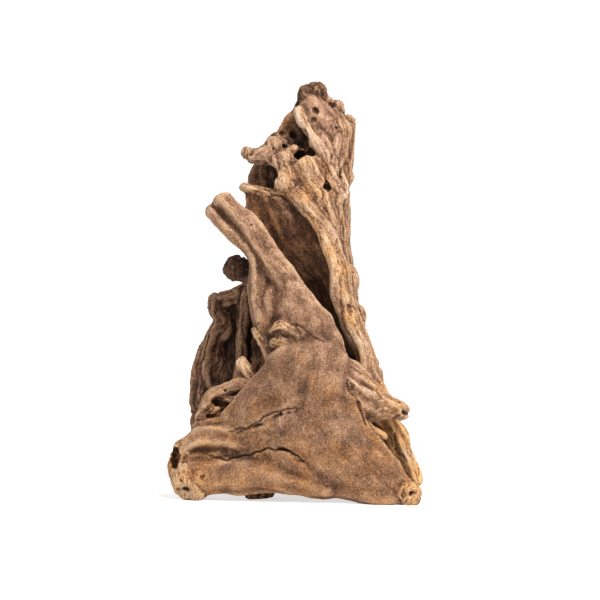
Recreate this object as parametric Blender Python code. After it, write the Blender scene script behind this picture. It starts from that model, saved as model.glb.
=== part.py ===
"""A weathered piece of driftwood: the stump of a bush whose trunk, torn hollow on one
side, stands on spreading roots. It grew as one piece, so it is one solid.

Every root, plate and ridge is a loft through a few stations, with sharp flutes that run along
it and, on roots and branches, flat sides. The knobs are blocks with flat facets. All overlap, a
voxel remesh fuses them into one skin, and the hollows and creases are cut out of it. The
underside is cut level at the feet.

The front, which faces -Y, has the broad apron root. Stations are in millimetres, measured
from the spot on the floor under the middle of the front view.
"""

import math

import bmesh
import bpy
import numpy as np
from mathutils import Euler, Matrix, Vector, noise

# Driving dimensions, in metres
MM = 0.001
CENTRING = (0.0028, -0.0060, 0.0)    # moves the stations' origin to the middle of the base
SKIN_VOXEL = 0.0015                 # cell of the remesh that fuses the lofts
HOLLOW_VOXEL = 0.0008               # cell of the remesh that joins the cutters
THIN_RATIO = 0.0925                 # share of the remeshed skin's triangles that is kept
FLUTE_WIDTH = 0.007                 # from one weathered ridge to the next, across a root
FLUTE_LENGTH = 0.048                # length of such a ridge along its root
FLUTE_HEIGHT = 0.0034               # how far it can stand out
FLUTE_SHARE = 0.42                  # and at most this share of the root's half width
FLUTE_CREST = 0.3                   # where between crest and valley the loft's own skin lies
CORNERS = (4, 5, 6)                 # a root's section has flat sides, one of these numbers of them
TWIST = 9.0                         # radians a section turns per metre of root
FACETED = 0.9                       # 1 makes the sides quite flat, 0 leaves the section oval
GNARLS = ((0.030, 0.0024), (0.012, 0.0013), (0.0055, 0.0006))   # size and height of the bends
CUT_GNARLS = ((0.006, 0.0016),)     # those of the hollows' walls, on top
GNARL_SEED = 4                      # the same bends every time
LUMP_HEIGHT = 0.0012                # relief of the low swellings
LUMP_SIZE = 0.02                    # width of a swelling
FLOOR_SPAN = 0.4                    # side of the block that levels the feet
FLOOR_DEEP = 0.05                   # its depth under the floor

# Mesh fineness and ends of a loft
RINGS_PER_STATION = 6
SIDES = 36
END_TURNS = (0.5, 0.95, 1.3)        # angles of the rings that round off an end
LIMB_END = 0.5                      # how far a limb's end bulges, in half depths
KNOB_STEPS = 2                      # subdivisions of a knob, few, so that it stays blocky
WOOD_COLOUR = (0.21, 0.125, 0.07, 1.0)

VIEWER = Vector((0.0, -1.0, 0.0))   # plates turn their broad side this way

# How strongly the flutes show on what still has a smooth surface
SMOOTH_SKIN = {"apron": 0.3, "shoulder": 0.35, "tongue_middle": 0.45, "tongue_lower": 0.4,
               "stub_upper": 0.5, "stub_lower": 0.6, "cap": 0.4, "trough": 0.5, "ridge_plate": 0.7,
               "side_shell": 0.7}


# Roots and branches: x, y, z, half width seen from the front, half depth
LIMBS = {
    # the sawn branch that points up to the left, two ridges with a groove between
    "stub_upper": [(-37.8, -32, 146.6, 6.4, 6.5), (-27.4, -32, 135.2, 7.3, 7),
                   (-17, -31, 121, 7.6, 7), (-8, -29, 108, 8, 7), (-1, -27, 96, 8, 7),
                   (4, -25, 84, 9, 7)],
    "stub_lower": [(-42.4, -30, 141.2, 5, 6), (-31, -30, 131, 5, 6), (-21.5, -29, 118, 4.8, 6),
                   (-19.5, -28, 101, 5.4, 6), (-17.5, -28, 88, 5.5, 6), (-14, -28, 74, 6, 6),
                   (-10, -28, 60, 6, 6)],
    # the trunk behind the hollow, down to its foot on the right
    "trunk": [(10, 5, 192, 8, 9), (11, 7, 172, 12, 12), (11, 9, 147, 12, 15),
              (12, 9, 122, 10, 16), (16, 8, 97, 8, 15), (21, 6, 72, 7, 13),
              (31, 0, 47, 7, 11), (43, -10, 25, 6, 10), (51, -18, 8, 5, 8)],
    "back_swell": [(3, 14, 172, 8, 8), (-1, 18, 142, 12, 10), (2, 21, 112, 13, 12),
                   (8, 19, 84, 14, 14), (14, 14, 56, 15, 15), (16, 6, 30, 12, 12)],
    # the light ridges on the trunk's right
    "ridge_front": [(24, -19, 86, 4, 6), (30.6, -20, 74, 5, 7), (33.8, -21, 57, 5.2, 7),
                    (38.8, -21, 44, 5.4, 8), (45, -22, 33, 5.4, 8), (50, -23, 23, 5.6, 7),
                    (55, -24, 14, 5, 6), (57, -25, 7, 4, 5)],
    "ridge_right": [(19.5, 4, 142, 3, 6), (18.4, 3, 130, 4, 8), (18, 2, 118, 4.4, 8),
                    (20.8, 1, 103, 4.4, 8), (23.4, 0, 90, 4.4, 8), (26.2, -1, 75, 4.4, 8),
                    (31, -3, 60, 4.4, 7), (38, -6, 46, 4.4, 6)],
    # the crown: a rim over the basin, a smooth cap, and the ledge that ends in a horn
    "rim": [(-1.6, -6, 188, 3, 4), (2.2, -9, 182.5, 4.6, 6), (7, -12, 176.5, 5, 6),
            (13, -14, 169, 4.8, 6), (18, -14, 159, 4, 6), (21, -12, 147, 3, 5)],
    "cap": [(4.5, -3, 193, 6, 7), (9, -7, 186.5, 7.5, 7), (15, -7, 178, 7, 7), (19, -6, 168, 5, 7)],
    "ledge": [(-26.5, -10, 167.4, 3.6, 4.5), (-21, -12, 166, 5, 6), (-15, -13, 166, 6, 7),
              (-9, -13, 163, 6, 7), (-3, -13, 160, 5, 7)],
    "lip": [(-28.4, -14.5, 152.6, 3.2, 3.5), (-21, -15.4, 150.8, 2.8, 4), (-14, -16.4, 149, 2.6, 4),
            (-7, -17.4, 147, 2.6, 4)],
    # the three folds of the root on the front left, ending in a broken knob
    "tongue_middle": [(-56, -35, 26.4, 4.8, 6), (-48, -37, 29.6, 6.4, 7), (-34, -41, 29.6, 7, 8),
                      (-18, -45, 32, 8, 9), (-2, -47, 34, 8.5, 9), (12, -46, 33, 8, 8)],
    "tongue_lower": [(-57, -34, 12, 9, 9), (-48, -36, 11, 9.8, 10), (-36, -40, 12, 9.4, 9),
                     (-24, -44, 13.2, 9.4, 9), (-12, -47, 14.4, 10, 9), (0, -48, 12.8, 9.8, 9),
                     (14, -50, 8.4, 8, 8)],
    "tongue_inner": [(-54, -34, 19, 5, 6), (-42, -37, 20, 6, 6), (-26, -40, 22, 6, 7),
                     (-8, -42, 24, 7, 8)],
    # the root that crosses over to the right, with its end knob and a thin prong
    "root_right": [(20, -36, 63.4, 8, 6), (28, -36, 56.4, 8.4, 6), (34.5, -36, 50.4, 7.4, 7),
                   (40.5, -36, 45.6, 6.2, 7), (44.6, -36, 43.4, 5.6, 6), (47.5, -36, 42.5, 5.4, 5)],
    "prong": [(29, -42, 39, 4, 5), (32, -42, 36, 3.4, 4), (37, -42, 33.5, 2.4, 3),
              (41.5, -42, 32, 1.6, 2)],
    # folds of the rear root on the left
    "fold_outer": [(-45.5, 47, 93.5, 5, 6), (-43, 46, 89, 5.6, 8), (-38, 45, 82, 6, 8),
                   (-43, 44, 75, 8, 9), (-46.5, 43, 63, 9.4, 9), (-48.5, 42, 50, 9.2, 9),
                   (-49, 40, 40, 8.8, 9), (-48.5, 39, 30, 8.8, 8), (-43, 36, 15, 6, 7)],
    "fold_middle": [(-28, 42, 97, 4, 6), (-30, 40, 84, 4, 7), (-31, 39, 68, 4.2, 8),
                    (-32, 38, 50, 4.6, 8), (-32, 34, 32, 6, 8), (-30, 28, 14, 6, 7)],
    "fold_inner": [(-20, 46, 98, 6, 7), (-18, 46, 78, 7, 8), (-18, 44, 54, 8, 9),
                   (-18, 38, 32, 9, 10), (-16, 28, 18, 9, 9)],
    "fold_crest": [(-45.5, 46, 91, 4.8, 6), (-38, 45, 93, 5.4, 7), (-28, 43, 96.8, 5.4, 7),
                   (-16, 38, 101, 6, 8), (-4, 30, 102, 7, 9)],
    "rear_arm": [(2, 20, 104, 9, 9), (-12, 25, 107, 8.4, 8), (-23, 29, 108.4, 8, 7),
                 (-30, 31, 109.4, 7, 6), (-35, 32, 109, 6, 5)],
    "rear_nib": [(-14, 22, 112, 6, 6), (-22, 26, 119, 4, 4.4), (-28, 27, 122.5, 3, 3)],
    "rear_bridge": [(-38, 47, 58, 15, 9), (-22, 49, 56, 22, 9), (-6, 41, 54, 22, 12),
                    (10, 26, 52, 22, 14), (20, 10, 48, 18, 12)],
    # roots that carry the back
    "rear_root": [(10, 22, 104, 9, 9), (7, 37, 82, 10, 10), (9, 47, 60, 10, 10),
                  (4, 54, 40, 7.5, 9), (6, 60, 22, 7, 8), (1, 64, 8, 8.5, 9),
                  (-1, 66, 1, 9, 8)],
    "rear_right_root": [(22, 16, 70, 10, 9), (27, 25, 52, 9, 9), (35, 32, 36, 6.5, 8),
                        (37, 41, 22, 6, 7), (44, 47, 10, 4.6, 5), (47, 52, 5, 3, 4)],
    "rear_left_root": [(-24, 46, 56, 10, 9), (-27, 53, 40, 7.5, 8), (-35, 57, 26, 6, 7),
                       (-36, 63, 13, 5, 6), (-41, 66, 6, 3.6, 4)],
    "rear_web": [(-30, 50, 34, 4, 7), (-16, 54, 36, 9, 8), (0, 54, 40, 10, 8)],
    "rear_fill": [(-6, 32, 104, 7, 7), (-9, 40, 84, 8, 8), (-8, 46, 62, 8, 8)],
    "rib_outer": [(-40, 48, 92, 3, 4), (-44, 53, 76, 4, 5), (-45, 56, 58, 4, 5),
                  (-40, 57, 42, 4, 5), (-36, 57, 26, 4, 5)],
    "rib_middle": [(-29, 46, 97, 3.4, 5), (-33, 55, 78, 4, 6), (-31, 60, 58, 4, 6),
                   (-24, 60, 42, 4, 5), (-20, 57, 27, 3.4, 4)],
    "rib_inner": [(-17, 44, 100, 3.4, 5), (-21, 54, 80, 4, 6), (-18, 60, 60, 4.4, 6),
                  (-8, 60, 44, 4, 5), (2, 60, 30, 3.4, 4)],
    "rib_right": [(16, 34, 84, 4, 6), (18, 42, 64, 4.4, 6), (25, 38, 46, 4, 5),
                  (35, 38, 32, 3.4, 4)],
    # long ridges and a broken branch on the back
    "back_ridge_left": [(-3, 20, 178, 3.5, 5), (-8, 26, 150, 4, 6), (-7, 32, 122, 4.5, 6),
                        (-3, 38, 96, 4.5, 6), (2, 45, 72, 4, 6), (0, 54, 44, 4, 6)],
    "back_ridge_middle": [(5, 20, 182, 4, 5), (5, 28, 152, 4.5, 6), (8, 33, 122, 5, 6),
                          (14, 34, 94, 5, 6), (19, 36, 68, 4.5, 6), (24, 32, 48, 4, 6)],
    "back_ridge_right": [(15, 15, 178, 4, 5), (19, 20, 150, 4.5, 6), (19, 23, 120, 5, 6),
                         (22, 21, 92, 5, 6), (27, 15, 64, 5, 6), (33, 6, 44, 5, 6)],
    "back_branch": [(4, 24, 132, 8, 8), (2, 36, 144, 6, 6), (1, 46, 153, 5, 5),
                    (2, 52, 158, 4.6, 4.6)],
    # what is left of a side root between the apron and the rear folds
    "side_root": [(-14, -24, 53, 7, 7), (-24, -26, 55, 5.2, 5), (-33, -27, 53, 4.6, 4.6),
                  (-41, -28, 48.4, 4, 4), (-47, -28, 43, 2.6, 3.6)],
    "side_spur": [(-34, -28, 36, 3, 4), (-44, -29, 35.5, 2.8, 3), (-52, -29, 34, 2.2, 2.6)],
    "side_splinter": [(-24, -29, 47, 2.6, 3), (-34, -30, 45.5, 2.4, 3), (-43, -30, 41.5, 2, 2.4)],
    "side_knob": [(-20, -24, 54, 5, 5), (-26, -25, 59, 4, 4.4), (-28.4, -26, 64, 4, 4.4),
                  (-28.6, -26, 67.4, 2.8, 3)],
    "side_flake": [(-14, -28, 70, 4, 4), (-19, -28, 76, 2.6, 3), (-22, -28, 83, 2, 2.5)],
    "crumb_upper": [(-13.6, -35.6, 82.6, 2.4, 3), (-9.4, -36.8, 84.4, 3.6, 3.8),
                    (-4.4, -37.4, 82, 3.8, 3.6), (-0.4, -38.2, 78.8, 2.4, 3)],
    "crumb_lower": [(-13, -35.6, 77, 2.6, 3), (-7, -37.6, 76.8, 3, 3.4), (0, -39.2, 75.8, 2.6, 3),
                    (7.6, -40.2, 74.8, 1.6, 2.2)],
    "crumb_side": [(-21.4, -29, 84, 2.2, 3), (-19.6, -30, 79.6, 3.4, 3.8), (-16.4, -31, 75, 2.4, 3)],
    "dark_foot": [(-8, -36, 24, 9, 8), (-16, -31, 13, 8.4, 7.6), (-20, -32, 4.4, 7.6, 6),
                  (-20, -32, 2.6, 6, 5)],
    "core": [(-4, -24, 76, 9, 8), (2, -20, 56, 16, 12), (8, -16, 36, 20, 18),
             (10, -12, 20, 18, 16)],
}

# Plates and troughs: left point, right point, half thickness, bulge towards the viewer
SHEETS = {
    "apron": [((-6, -36, 76), (20, -36, 74), 4, 2), ((-15, -38, 71), (24, -39, 70), 5.5, 4),
              ((-23, -38, 61), (25.5, -42, 62), 6.5, 5), ((-31, -38, 50), (27.5, -45, 51), 7, 6),
              ((-38, -38, 39), (32.5, -47, 40), 7, 7), ((-40, -39, 29), (41, -50, 29.5), 7, 7),
              ((-32, -41, 20), (48.5, -52, 19), 7, 6), ((-16, -43, 12), (55, -55, 8), 6, 4),
              ((2, -47, 4.4), (57.5, -57, 1.2), 5, 2)],
    "root_fan": [((21, -40, 50), (21, -37, 66), 5, 2), ((29.5, -41, 38), (30.5, -37, 61.5), 5, 3),
                 ((37.5, -39.5, 38.5), (38, -36, 55.5), 5, 2),
                 ((45, -38, 38.5), (45, -36, 50), 5, 1),
                 ((49.5, -37, 40.5), (49.5, -36, 47), 4.6, 0)],
    "side_shell": [((-14, -22, 44), (-14, -22, 56), 4, 2),
                   ((-24, -24, 42), (-25, -25, 56), 3.4, -1),
                   ((-34, -25, 38), (-35, -26, 54), 3, -2),
                   ((-43, -27, 35.5), (-43, -27, 49), 2.8, -1),
                   ((-50, -28, 36), (-47.5, -28, 44), 2.4, 0)],
    "shoulder": [((-10, -31, 104), (3, -31, 103), 3.4, 1),
                 ((-12, -29, 96), (11, -31.5, 95), 4.4, 2), ((-13, -28, 88), (17.4, -32, 86), 5, 3),
                 ((-14, -27, 78), (22.4, -33, 77), 5, 4), ((-12, -28, 68), (25, -33, 68), 5, 4),
                 ((-8, -30, 56), (28, -34, 57), 6, 4), ((0, -30, 42), (29, -34, 44), 6, 3)],
    "ridge_plate": [((-13, -16, 155), (1, -14, 155), 4.5, 1),
                    ((-5, -21, 146), (8, -16, 146.5), 4.5, 1),
                    ((6, -23, 132), (16, -17, 132), 4.5, 1),
                    ((12, -24, 117), (21.5, -17, 117), 4.5, 1),
                    ((13.6, -24, 107), (24, -16, 106), 4.5, 1),
                    ((16, -24, 97), (25.4, -16, 96), 4.5, 1),
                    ((20, -24, 88), (29, -16, 87), 4.5, 1),
                    ((24, -24, 77), (32.4, -16, 77), 4.5, 1),
                    ((30, -24, 63), (38, -17, 62), 4.5, 1), ((36, -24, 50), (42, -19, 49), 5, 1)],
    "crown_face": [((7, -5, 190), (21, 3, 188), 4, 1), ((10, -9, 182), (25, 1, 181), 5, 2),
                   ((13, -12, 173), (26, 0, 172), 5, 2), ((8, -14, 163), (26.6, -1, 164), 5, 2.4),
                   ((2, -14, 154), (27, -1, 156), 5, 2.4), ((8, -16, 143), (22.4, -1, 144), 5, 2.4),
                   ((14, -16, 130), (20.2, -2, 131), 5, 2),
                   ((16.6, -15, 116), (20, -2, 117), 4.6, 1.6),
                   ((20.6, -14, 100), (22.8, -3, 100), 4.4, 1.4),
                   ((26, -14, 82), (27, -4, 82), 4, 1)],
    "crown_front": [((-3, -17, 160), (12, -15, 166), 4, 1),
                    ((0, -19, 153), (17, -15, 157), 4.4, 1.6),
                    ((4, -20, 145), (20, -14, 147), 4.4, 1.6),
                    ((9, -20, 135), (20, -13, 136), 4.4, 1.4),
                    ((13, -19, 124), (20, -12, 124), 4, 1.2)],
    "fold_wall": [((-44, 47, 90), (-10, 44, 99), 4, 0), ((-42, 46, 76), (-8, 45, 80), 5, 1),
                  ((-48, 44, 56), (-8, 43, 58), 5, 2), ((-49, 41, 36), (-8, 38, 36), 5, 2),
                  ((-42, 37, 18), (-10, 32, 16), 5, 1)],
    "back_plate": [((-5, 18, 182), (16, 14, 182), 4, 0), ((-8, 25, 160), (20, 18, 160), 5, 0),
                   ((-9, 30, 136), (21, 22, 136), 5, 0), ((-7, 35, 112), (22, 24, 112), 5.4, 0),
                   ((-3, 40, 90), (25, 24, 90), 5.4, 0), ((0, 46, 66), (31, 18, 66), 5.4, 0),
                   ((1, 54, 44), (37, 12, 44), 5, 0)],
    "rear_plate": [((-43, 49, 92), (-8, 44, 100), 4, 0), ((-46, 53, 76), (-6, 52, 80), 5, 0),
                   ((-47, 56, 58), (2, 57, 60), 5, 0), ((-42, 56, 42), (4, 57, 42), 5, 0),
                   ((-38, 55, 29), (2, 56, 29), 4, 0)],
    "flank_plate": [((23, 12, 150), (19, 20, 150), 4, 0), ((23, 2, 124), (21, 24, 124), 4.4, 0),
                    ((24, 0, 100), (24, 24, 100), 4.4, 0), ((28, -4, 78), (29, 22, 78), 4.4, 0),
                    ((36, -10, 56), (37, 20, 52), 4.4, 0)],
    "trough": [((-28, -14, 152), (-5, -17, 148), 3.2, 0),
               ((-28, -14, 145), (3, -18, 142), 3.6, -1), ((-27, -13, 135), (9.5, -18, 134), 4, -2),
               ((-23, -11, 123), (14.5, -18, 124), 4, -4), ((-14, -8, 110), (18.5, -18, 112), 4, -6),
               ((-2, -5, 97), (21.5, -18, 100), 4, -8), ((8, -4, 83), (25, -18, 87), 4, -8),
               ((18, -5, 66), (30, -18, 68), 4, -6), ((30, -8, 50), (38, -18, 51), 4, -4)],
    "throat_wall": [((-15, 2, 175.6), (4, 3, 176), 4, 0), ((-22, 2, 167.4), (2, 4, 166), 5, 0),
                    ((-24.2, 2, 158), (0, 4, 156), 5.6, 0), ((-26, -1, 146), (2, 2, 144), 5, 0)],
    "basin": [((-21, -6, 166), (4, -8, 160), 3.4, -1), ((-14.6, -3, 172), (12, -6, 166), 3.4, -2),
              ((-10.4, -1, 179.4), (18, -4, 173), 3.4, -2), ((-5.4, 1, 187), (20, 0, 181), 4, -1),
              ((-1, 4, 194), (18, 4, 189), 4, -1)],
}

# Knobs: x, y, z, half sizes
KNOBS = {
    "top_left": (2.2, 0, 197.4, 4.6, 6, 5.6),
    "top_middle": (7.2, 2, 199.6, 5.2, 7, 4.8),
    "top_right": (13, 3, 194, 4, 5, 4.4),
    "top_second": (18, 0, 192, 4, 5, 4.4),
    "top_shoulder": (23.4, 2, 181, 4.8, 7, 6.8),
    "ledge_flake": (-14, -14, 171.6, 4.4, 5, 3.8),
    "ledge_block": (-9, -15.4, 164, 6.4, 7, 5.4),
    "ledge_column": (-6.5, -18, 155.5, 6.4, 6.4, 8),
    "horn": (-26.6, -11, 168.2, 3.4, 4, 3.6),
    "basin_lump_left": (-9, -9, 173.5, 3.4, 4, 3),
    "basin_lump_middle": (-3, -11, 170.5, 4, 4.4, 3),
    "basin_lump_right": (2, -10, 170.5, 3, 4, 2.2),
    "branch_fill": (-13.5, -27.6, 97, 7, 6, 11),
    "crown_lump": (12.5, -10, 184, 4, 5, 4),
    "crown_corner": (22.5, -3, 184.5, 4.4, 5, 3.8),
    "left_knob": (-55, -35, 11, 9.2, 9, 9.2),
    "left_knob_foot": (-51, -36, 7.4, 9, 9, 9.6),
    "left_knob_side": (-60.2, -32, 16.6, 6, 8, 8.8),
    "left_knob_top": (-57, -34, 25, 6.6, 6, 5.6),
    "right_tip": (51.6, -55, 5.2, 7.2, 7, 7),
    "right_tip_end": (54.4, -55, 4.8, 4.2, 6, 6.4),
    "crumb_middle": (-6, -35, 80, 6, 3.6, 3.4),
    "root_knob": (49, -36, 42.4, 5.4, 6, 5.6),
    "arm_end": (-33, 31, 110.2, 7.2, 7, 7.6),
    "flank_swell": (25.2, 0, 105, 4.4, 6, 10),
    "flank_knot": (28.8, -3, 88, 4.2, 6, 6),
    "back_burl": (-6, 34, 122, 7, 6, 9),
    "rear_knot": (-25, 60, 66, 7, 5, 6),
}

# Creases that are cut into the skin, as paths like the roots'
CREASES = {
    "apron_crease": [(-42, -46.4, 29.5, 1.3, 4), (-33, -48.6, 32.5, 1.5, 4.4),
                     (-25, -50.6, 36, 1.5, 4.6), (-18, -52.4, 40.5, 1.5, 4.4),
                     (-8, -54.4, 44.5, 1.4, 3.8), (2, -56.2, 46, 1, 2.6)],
    "root_crease": [(-54, -46, 21.5, 1.2, 3), (-47, -47.5, 22.5, 1.4, 3.2),
                    (-38, -51.5, 20.6, 1.2, 4), (-28, -54, 22.4, 1.2, 4.2),
                    (-17, -56.6, 26.4, 1.4, 4.6), (-8, -58, 26, 1.4, 4.6), (0, -59.5, 21, 1.2, 4),
                    (6, -60.5, 15, 1, 3)],
    "stub_groove": [(-45, -40, 145, 2, 3), (-35, -40.5, 135.5, 2.8, 3.4), (-26, -40, 124, 2.8, 3.4),
                    (-19, -39, 111, 2.6, 3.4), (-14.5, -38.5, 100, 2.6, 3.4), (-12, -38, 91, 2, 3)],
    "shoulder_valley": [(-9, -37.5, 102, 1.2, 2.4), (-10, -38, 95, 1.6, 3),
                        (-11, -38.5, 88, 1.4, 3)],
    "fan_crease": [(23.5, -46, 62, 1, 3), (25.5, -47.5, 54, 1.2, 3.4), (28, -48.5, 46, 1.2, 3.6),
                   (32, -49, 38.5, 1, 3)],
    "ridge_groove": [(4, -25, 152, 1, 2.4), (9.6, -26, 142, 1.3, 2.8), (15.5, -26, 129, 1.3, 2.8),
                     (20.5, -25, 115, 1.3, 2.8), (24, -25, 101, 1.2, 2.8), (26.5, -25, 88, 1, 2.4)],
    "flank_groove": [(16, -20, 158, 1, 2.4), (19.5, -19, 145, 1.2, 2.6), (21.5, -18, 130, 1.2, 2.6),
                     (22, -16, 114, 1, 2.4)],
    "crown_seam": [(19, -13, 169, 1, 2.4), (20, -15, 163, 1.3, 3), (19.4, -16, 156, 1, 2.4)],
    "back_groove_left": [(-1, 32, 166, 2, 4.6), (-1.6, 38, 142, 2.4, 5.4), (0, 42, 118, 2.4, 5)],
    "back_groove_right": [(13, 28, 170, 2, 5), (14, 35, 140, 2.4, 6), (16, 36, 112, 2.4, 6),
                          (21, 33, 84, 2.4, 6), (26, 27, 62, 2, 5)],
    "side_groove": [(26, 12, 150, 2.4, 4), (27, 13, 120, 2.4, 4.5), (30, 10, 92, 2.4, 4.5),
                    (34, 4, 66, 2.4, 4)],
}

# Hollows that are cut out: x, y, z, half sizes
HOLLOWS = {
    "throat": (-15.4, -14, 157.4, 7.4, 11.4, 5.8),
    "basin_hollow": (-4.4, -13, 176, 8.4, 9, 5),
    "basin_pit_left": (-8.6, -7, 177.4, 2.6, 7, 2.6),
    "basin_pit_middle": (-2.8, -7, 177.6, 3, 7, 3.2),
    "basin_pit_small": (-8, -13, 173.6, 1.8, 5, 1.8),
    "basin_pit_right": (1.2, -11, 172.6, 3, 7, 2.8),
    "basin_pit_low": (5.4, -13, 168.4, 2.4, 6, 2.6),
    "ledge_pit": (-1.4, -20, 165.6, 1.8, 4, 1.4),
    "crown_pit": (14.6, -5, 194.6, 2.6, 6, 3),
    "cap_pit": (6, -12.6, 189.4, 1.8, 4, 2),
    "cap_pit_low": (6, -14.6, 184.4, 2, 4, 2.2),
    "flank_pit": (16.5, -19, 167.5, 1.8, 4, 4.4),
    "flank_hole": (13, -20, 153, 2, 4, 2.8),
    "side_root_mouth": (-36, -32, 44.6, 8, 6, 3),
    "side_root_gap": (-42, -31, 38, 4.4, 5, 2),
    "left_knob_pit": (-61.4, -40, 20.5, 3, 9, 5.4),
    "left_knob_slot": (-53, -44, 20.4, 5.6, 5, 1.6),
    "left_knob_eye": (-46.5, -46, 12.4, 1.5, 3, 1.7),
    "left_knob_low": (-56, -45, 7, 2.8, 4, 1.4),
    "left_knob_chip": (-60, -43, 5.4, 3.4, 4, 1.8),
    "right_tip_chip": (52.5, -62, 6.4, 3, 4, 2),
    "root_fork": (53.5, -39, 41.6, 5.4, 6, 1.4),
    "arm_chip": (-40.4, 27, 114.4, 4.4, 8, 3.6),
    "knot_eye": (33, -7, 88, 1.8, 3, 2.6),
    "burl_eye": (-7, 41, 123, 3, 5, 4),
    "back_cleft": (5, 47, 84, 2.6, 6, 14),
    "rear_knot_eye": (-25, 66, 67, 3, 4, 2.6),
    "rear_cleft_left": (-37, 60, 66, 2.4, 7, 20),
    "rear_cleft_right": (-26, 65, 46, 2.4, 7, 12),
    "rear_cleft_middle": (-12, 64, 70, 2.4, 9, 18),
}


def clear_scene():
    for obj in list(bpy.data.objects):
        bpy.data.objects.remove(obj)


def smooth_rows(rows, count):
    """Rows of numbers, as many as asked, on a smooth curve through the given ones."""
    known = np.array(rows, float)
    known = np.vstack([2 * known[0] - known[1], known, 2 * known[-1] - known[-2]])
    places = np.linspace(0, len(rows) - 1 - 1e-9, count)
    first = places.astype(int)
    t = (places - first)[:, None]
    a, b, c, d = (known[first + k] for k in range(4))
    return 0.5 * (2 * b + (c - a) * t + (2 * a - 5 * b + 4 * c - d) * t**2
                  + (3 * b - 3 * c + d - a) * t**3)


def add_loft(bm, rings):
    """Closes a row of rings, each a list of points, into a tube with capped ends."""
    made = [[bm.verts.new(point) for point in ring] for ring in rings]
    sides = len(made[0])
    for low, high in zip(made, made[1:]):
        for k in range(sides):
            after = (k + 1) % sides
            bm.faces.new((low[k], low[after], high[after], high[k]))
    for ring in (made[0], made[-1]):
        bm.faces.new(ring)


def section(centre, across, out, thickness, bulge, along, seed, fluted, faceted=0.0):
    """An oval ring round a centre: across reaches its rim, out points at the viewer. Flutes
    with sharp crests run along the limb, by a noise drawn out that way, and a faceted one has
    flat sides."""
    ring = []
    half_side = math.pi / CORNERS[seed % len(CORNERS)]
    turn = seed + along * TWIST
    for k in range(SIDES):
        angle = 2 * math.pi * k / SIDES
        flat = (angle + turn) % (2 * half_side) - half_side
        reach = 1 + faceted * (math.cos(half_side) / math.cos(flat) - 1)
        side, depth = math.cos(angle) * reach, math.sin(angle) * reach
        place = across * side + out * thickness * depth
        spot = place / FLUTE_WIDTH + Vector((seed, -seed, along / FLUTE_LENGTH))
        height = min(FLUTE_HEIGHT, FLUTE_SHARE * place.length) * fluted
        flute = place.normalized() * height * (FLUTE_CREST - 2 * abs(noise.noise(spot)))
        ring.append(centre + place + flute + out * bulge * (1 - side * side))
    return ring


def dome(rings, reach):
    """The rings with a rounded end added at either side, each standing out by its reach."""
    def end(ring, inner, size):
        middle = sum(ring, Vector()) / len(ring)
        away = (middle - sum(inner, Vector()) / len(inner)).normalized() * size
        return [[middle + (p - middle) * math.cos(turn) + away * math.sin(turn) for p in ring]
                for turn in END_TURNS]
    first = end(rings[0], rings[1], reach[0])
    last = end(rings[-1], rings[-2], reach[1])
    return first[::-1] + rings + last


def lengths_along(centres):
    """How far along the path each centre is."""
    steps = [(b - a).length for a, b in zip(centres, centres[1:])]
    return [sum(steps[:k]) for k in range(len(centres))]


def add_limb(bm, stations, seed, fluted=1.0):
    """Seen from the front, a station's half width lies across the limb, its half depth along
    the line of sight."""
    rows = smooth_rows(stations, RINGS_PER_STATION * len(stations))
    centres = [Vector(row[:3]) * MM for row in rows]
    rings = []
    for k, (row, far) in enumerate(zip(rows, lengths_along(centres))):
        along = centres[min(k + 1, len(rows) - 1)] - centres[max(k - 1, 0)]
        across = along.cross(VIEWER).normalized()
        out = across.cross(along).normalized()
        rings.append(section(centres[k], across * row[3] * MM, out, row[4] * MM, 0.0, far, seed,
                             fluted, FACETED))
    ends = [station[4] * MM * LIMB_END for station in (stations[0], stations[-1])]
    add_loft(bm, dome(rings, ends))


def add_sheet(bm, stations, seed, fluted=1.0):
    flat = [(*left, *right, thick, bulge) for left, right, thick, bulge in stations]
    rows = smooth_rows(flat, RINGS_PER_STATION * len(flat))
    middles = [Vector((row[:3] + row[3:6]) / 2) * MM for row in rows]
    rings = []
    for k, (row, far) in enumerate(zip(rows, lengths_along(middles))):
        along = middles[min(k + 1, len(rows) - 1)] - middles[max(k - 1, 0)]
        across = (Vector(row[3:6]) - Vector(row[:3])) / 2 * MM
        out = across.cross(along).normalized()
        if out.dot(VIEWER) < 0:
            out = -out
        rings.append(section(middles[k], across, out, row[6] * MM, row[7] * MM, far, seed,
                             fluted))
    add_loft(bm, dome(rings, [station[2] * MM for station in (stations[0], stations[-1])]))


def add_block(bm, x, y, z, wide, deep, high):
    """A knob or a hollow: an oval block with flat facets, turned by where it sits."""
    place = Matrix.Translation(Vector((x, y, z)) * MM)
    size = Matrix.Diagonal((wide * MM, deep * MM, high * MM, 1.0))
    turned = Euler((x, y, z)).to_matrix().to_4x4()
    bmesh.ops.create_icosphere(bm, subdivisions=KNOB_STEPS, radius=1.0, matrix=place @ size @ turned)


def bend(bm, gnarls):
    """Moves every point by a few layers of noise, so that nothing stays straight or round."""
    noise.seed_set(GNARL_SEED)
    for vert in bm.verts:
        place = vert.co.copy()
        for size, height in gnarls:
            vert.co += noise.noise_vector(place / size) * height


def mesh_object(name, fill):
    """A new object whose mesh is what fill puts into an empty bmesh."""
    bm = bmesh.new()
    fill(bm)
    bmesh.ops.translate(bm, verts=bm.verts, vec=CENTRING)
    bmesh.ops.recalc_face_normals(bm, faces=bm.faces)
    mesh = bpy.data.meshes.new(name)
    bm.to_mesh(mesh)
    bm.free()
    obj = bpy.data.objects.new(name, mesh)
    bpy.context.scene.collection.objects.link(obj)
    return obj


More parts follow.
